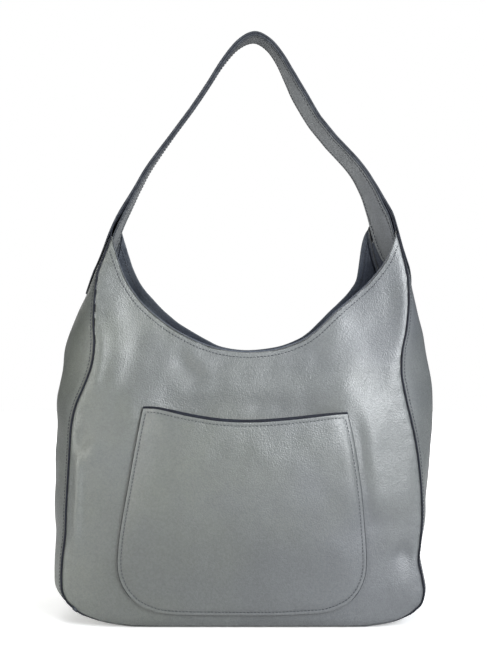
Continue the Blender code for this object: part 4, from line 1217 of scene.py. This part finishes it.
def make_anchor():
    """The sewn patch on the back facing that the tab hangs from."""
    low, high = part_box("closure_tab_anchor")
    surface = partial(facing_y, 1, depth=FACING_THICK + 0.0006 + ANCHOR_THICK)
    middle, half = (low.x + high.x) / 2, (high.x - low.x) / 2
    x = middle + np.linspace(-1, 1, 17) * half + np.zeros((10, 1))
    z = low.z + (high.z - low.z) * np.linspace(0, 1, 10)[:, None] + 0 * x
    anchor = sheet(
        "closure_anchor_leather", xyz(x, surface(x, z), z), ANCHOR_THICK, [STRAP_LEATHER, EDGE])
    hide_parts("closure_tab_anchor")
    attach(anchor, BAG)
    points, normals = on_surface(rectangle(low, high, 0.002, 0.002, 90), surface, 1)
    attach(thread("anchor_thread", [(points, -normals)]), BAG)


def make_zip():
    """Gives the CAD's metal, zip frame and board their materials, and makes the zip's cloth and thread."""
    metals = ("zip_teeth_upper", "zip_teeth_lower", "zip_slider", "zip_puller", "snap_socket", "snap_stud")
    looks = {name: NICKEL for name in metals}
    looks.update(zip_frame=STRAP_LEATHER, base_board=BOARD)
    for name, look in looks.items():
        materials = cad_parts[name].data.materials
        materials.clear()
        materials.append(look)
    for name in ("zip_tape_upper", "zip_tape_lower"):
        low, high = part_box(name)
        x, z = np.meshgrid(np.linspace(low.x, high.x, 90), np.linspace(low.z, high.z, 12))
        y = low.y + 0.00006 * (1 + np.sin(x * 2 * math.pi / 0.0032))
        tape = sheet(name + "_cloth", xyz(x, y, z), CLOTH_THICK, [TAPE])
        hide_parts(name)
        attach(tape, BAG)
    make_zip_pocket()
    low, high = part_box("zip_frame")
    line = rectangle(low, high, 0.0035, 0.0030, 200)
    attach(thread("zip_thread", [on_plane(line, low.y, -1.0)]), BAG)


def make_zip_pocket():
    """One cloth that runs down from the zip, turns and comes up behind itself."""
    low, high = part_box("zip_pocket_bag")
    run = (high.z - low.z) * 2
    x, along = np.meshgrid(np.linspace(low.x, high.x, 60), np.linspace(0, 1, 70) * run)
    down = along < run / 2
    z = np.where(down, high.z - along, low.z + (along - run / 2))
    belly = 0.5 * (high.y - low.y - 0.0010) * smooth((z - low.z) / 0.02)
    swell = 1 - 0.35 * np.abs(2 * (x - low.x) / (high.x - low.x) - 1) ** 4
    y = (low.y + high.y) / 2 + np.where(down, -1, 1) * belly * swell * 0.9
    bag = sheet("zip_pocket_cloth", xyz(x, y, z), 0.0005, [LINING])
    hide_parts("zip_pocket_bag")
    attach(bag, BAG)


# ---- camera, light and floor ------------------------------------------------

FLOOR_RADIUS = 2.4
FLOOR_SIDES = 96
FLOOR_HEIGHT = -0.0002
SKY_LIGHT = 0.12
# how strongly the floor glows to everything: a painted glow that stands for light bounced from below
FLOOR_GLOW = 0.06


def area_light(name, place, target, size, power, colour=(1, 1, 1)):
    data = bpy.data.lights.new(name, "AREA")
    data.shape = "RECTANGLE"
    data.size, data.size_y = size
    data.energy = power
    data.color = colour
    made = bpy.data.objects.new(name, data)
    made.location = place
    made.rotation_euler = Vector(np.subtract(target, place)).to_track_quat("-Z", "Y").to_euler()
    bpy.context.scene.collection.objects.link(made)


def make_stage():
    """A pale round floor that glows: to the camera more towards its rim, and faintly to everything as
    painted bounce light, under a white sky that lights softly.
    """
    radii = np.linspace(0, FLOOR_RADIUS, 25)[1:]
    turn = 2 * math.pi * np.arange(FLOOR_SIDES) / FLOOR_SIDES
    points = [(0.0, 0.0, FLOOR_HEIGHT)]
    points += [(r * math.cos(t), r * math.sin(t), FLOOR_HEIGHT) for r in radii for t in turn]
    pairs = [(k, (k + 1) % FLOOR_SIDES) for k in range(FLOOR_SIDES)]
    faces = [(0, 1 + k, 1 + m) for k, m in pairs]
    for ring in range(len(radii) - 1):
        a = 1 + ring * FLOOR_SIDES
        b = a + FLOOR_SIDES
        faces += [(a + k, b + k, b + m, a + m) for k, m in pairs]
    mesh = bpy.data.meshes.new("studio_floor")
    mesh.from_pydata(points, [], faces)
    mesh.shade_smooth()
    made, tree, body, place = shader("studio_white", 0.9)
    tree.links.new(mix(tree, noise(tree, place, 0.5), [0.90] * 3, [0.92] * 3), body.inputs["Base Color"])
    body.inputs["Specular IOR Level"].default_value = 0.1
    body.inputs["Emission Color"].default_value = (1, 1, 1, 1)
    away = node(tree, "ShaderNodeVectorMath", {0: place}, operation="LENGTH").outputs["Value"]
    direct = node(tree, "ShaderNodeLightPath").outputs["Is Camera Ray"]
    glow = maths(tree, "MULTIPLY", spread(tree, away, 0.35, 1.5, 0.30, 1.0), direct)
    tree.links.new(maths(tree, "ADD", glow, FLOOR_GLOW), body.inputs["Emission Strength"])
    mesh.materials.append(made)
    floor = bpy.data.objects.new("studio_floor", mesh)
    bpy.context.scene.collection.objects.link(floor)
    world = bpy.data.worlds.new("studio")
    world.use_nodes = True
    sky = world.node_tree
    seen = node(sky, "ShaderNodeLightPath").outputs["Is Camera Ray"]
    background = sky.nodes["Background"]
    background.inputs["Color"].default_value = (1.0, 1.0, 1.0, 1)
    sky.links.new(plus(sky, SKY_LIGHT, seen, 1 - SKY_LIGHT), background.inputs["Strength"])
    bpy.context.scene.world = world
    area_light("key", (1.00, -1.45, 0.95), (0.0, 0.0, 0.22), (0.85, 1.0), 50, (0.95, 0.975, 1.0))
    area_light("fill", (-1.40, -1.20, 0.62), (0.0, 0.0, 0.20), (0.8, 1.1), 17, (1.0, 1.0, 0.93))
    area_light("top", (0.1, -0.3, 1.6), (0.0, 0.0, 0.25), (1.2, 0.7), 11)
    area_light("rear", (-0.7, 1.7, 1.3), (0.0, 0.0, 0.20), (1.4, 1.2), 22)
    bpy.context.scene.view_settings.view_transform = "Standard"
    bpy.context.scene.view_settings.look = "None"


def make_camera():
    data = bpy.data.cameras.new("camera")
    data.sensor_width = 36.0
    data.lens = 62.09
    data.clip_start = 0.01
    camera = bpy.data.objects.new("camera", data)
    camera.location = (0.0, -1.0, 0.257)
    camera.rotation_euler = (math.pi / 2, 0.0, 0.0)
    bpy.context.scene.collection.objects.link(camera)
    bpy.context.scene.camera = camera


make_camera()
make_stage()
make_panels()
make_facings()
make_gussets()
make_base()
make_piping()
make_lip_thread()
make_gusset_thread()
make_pocket()
make_strap()
make_linings()
make_tab()
make_anchor()
make_zip()
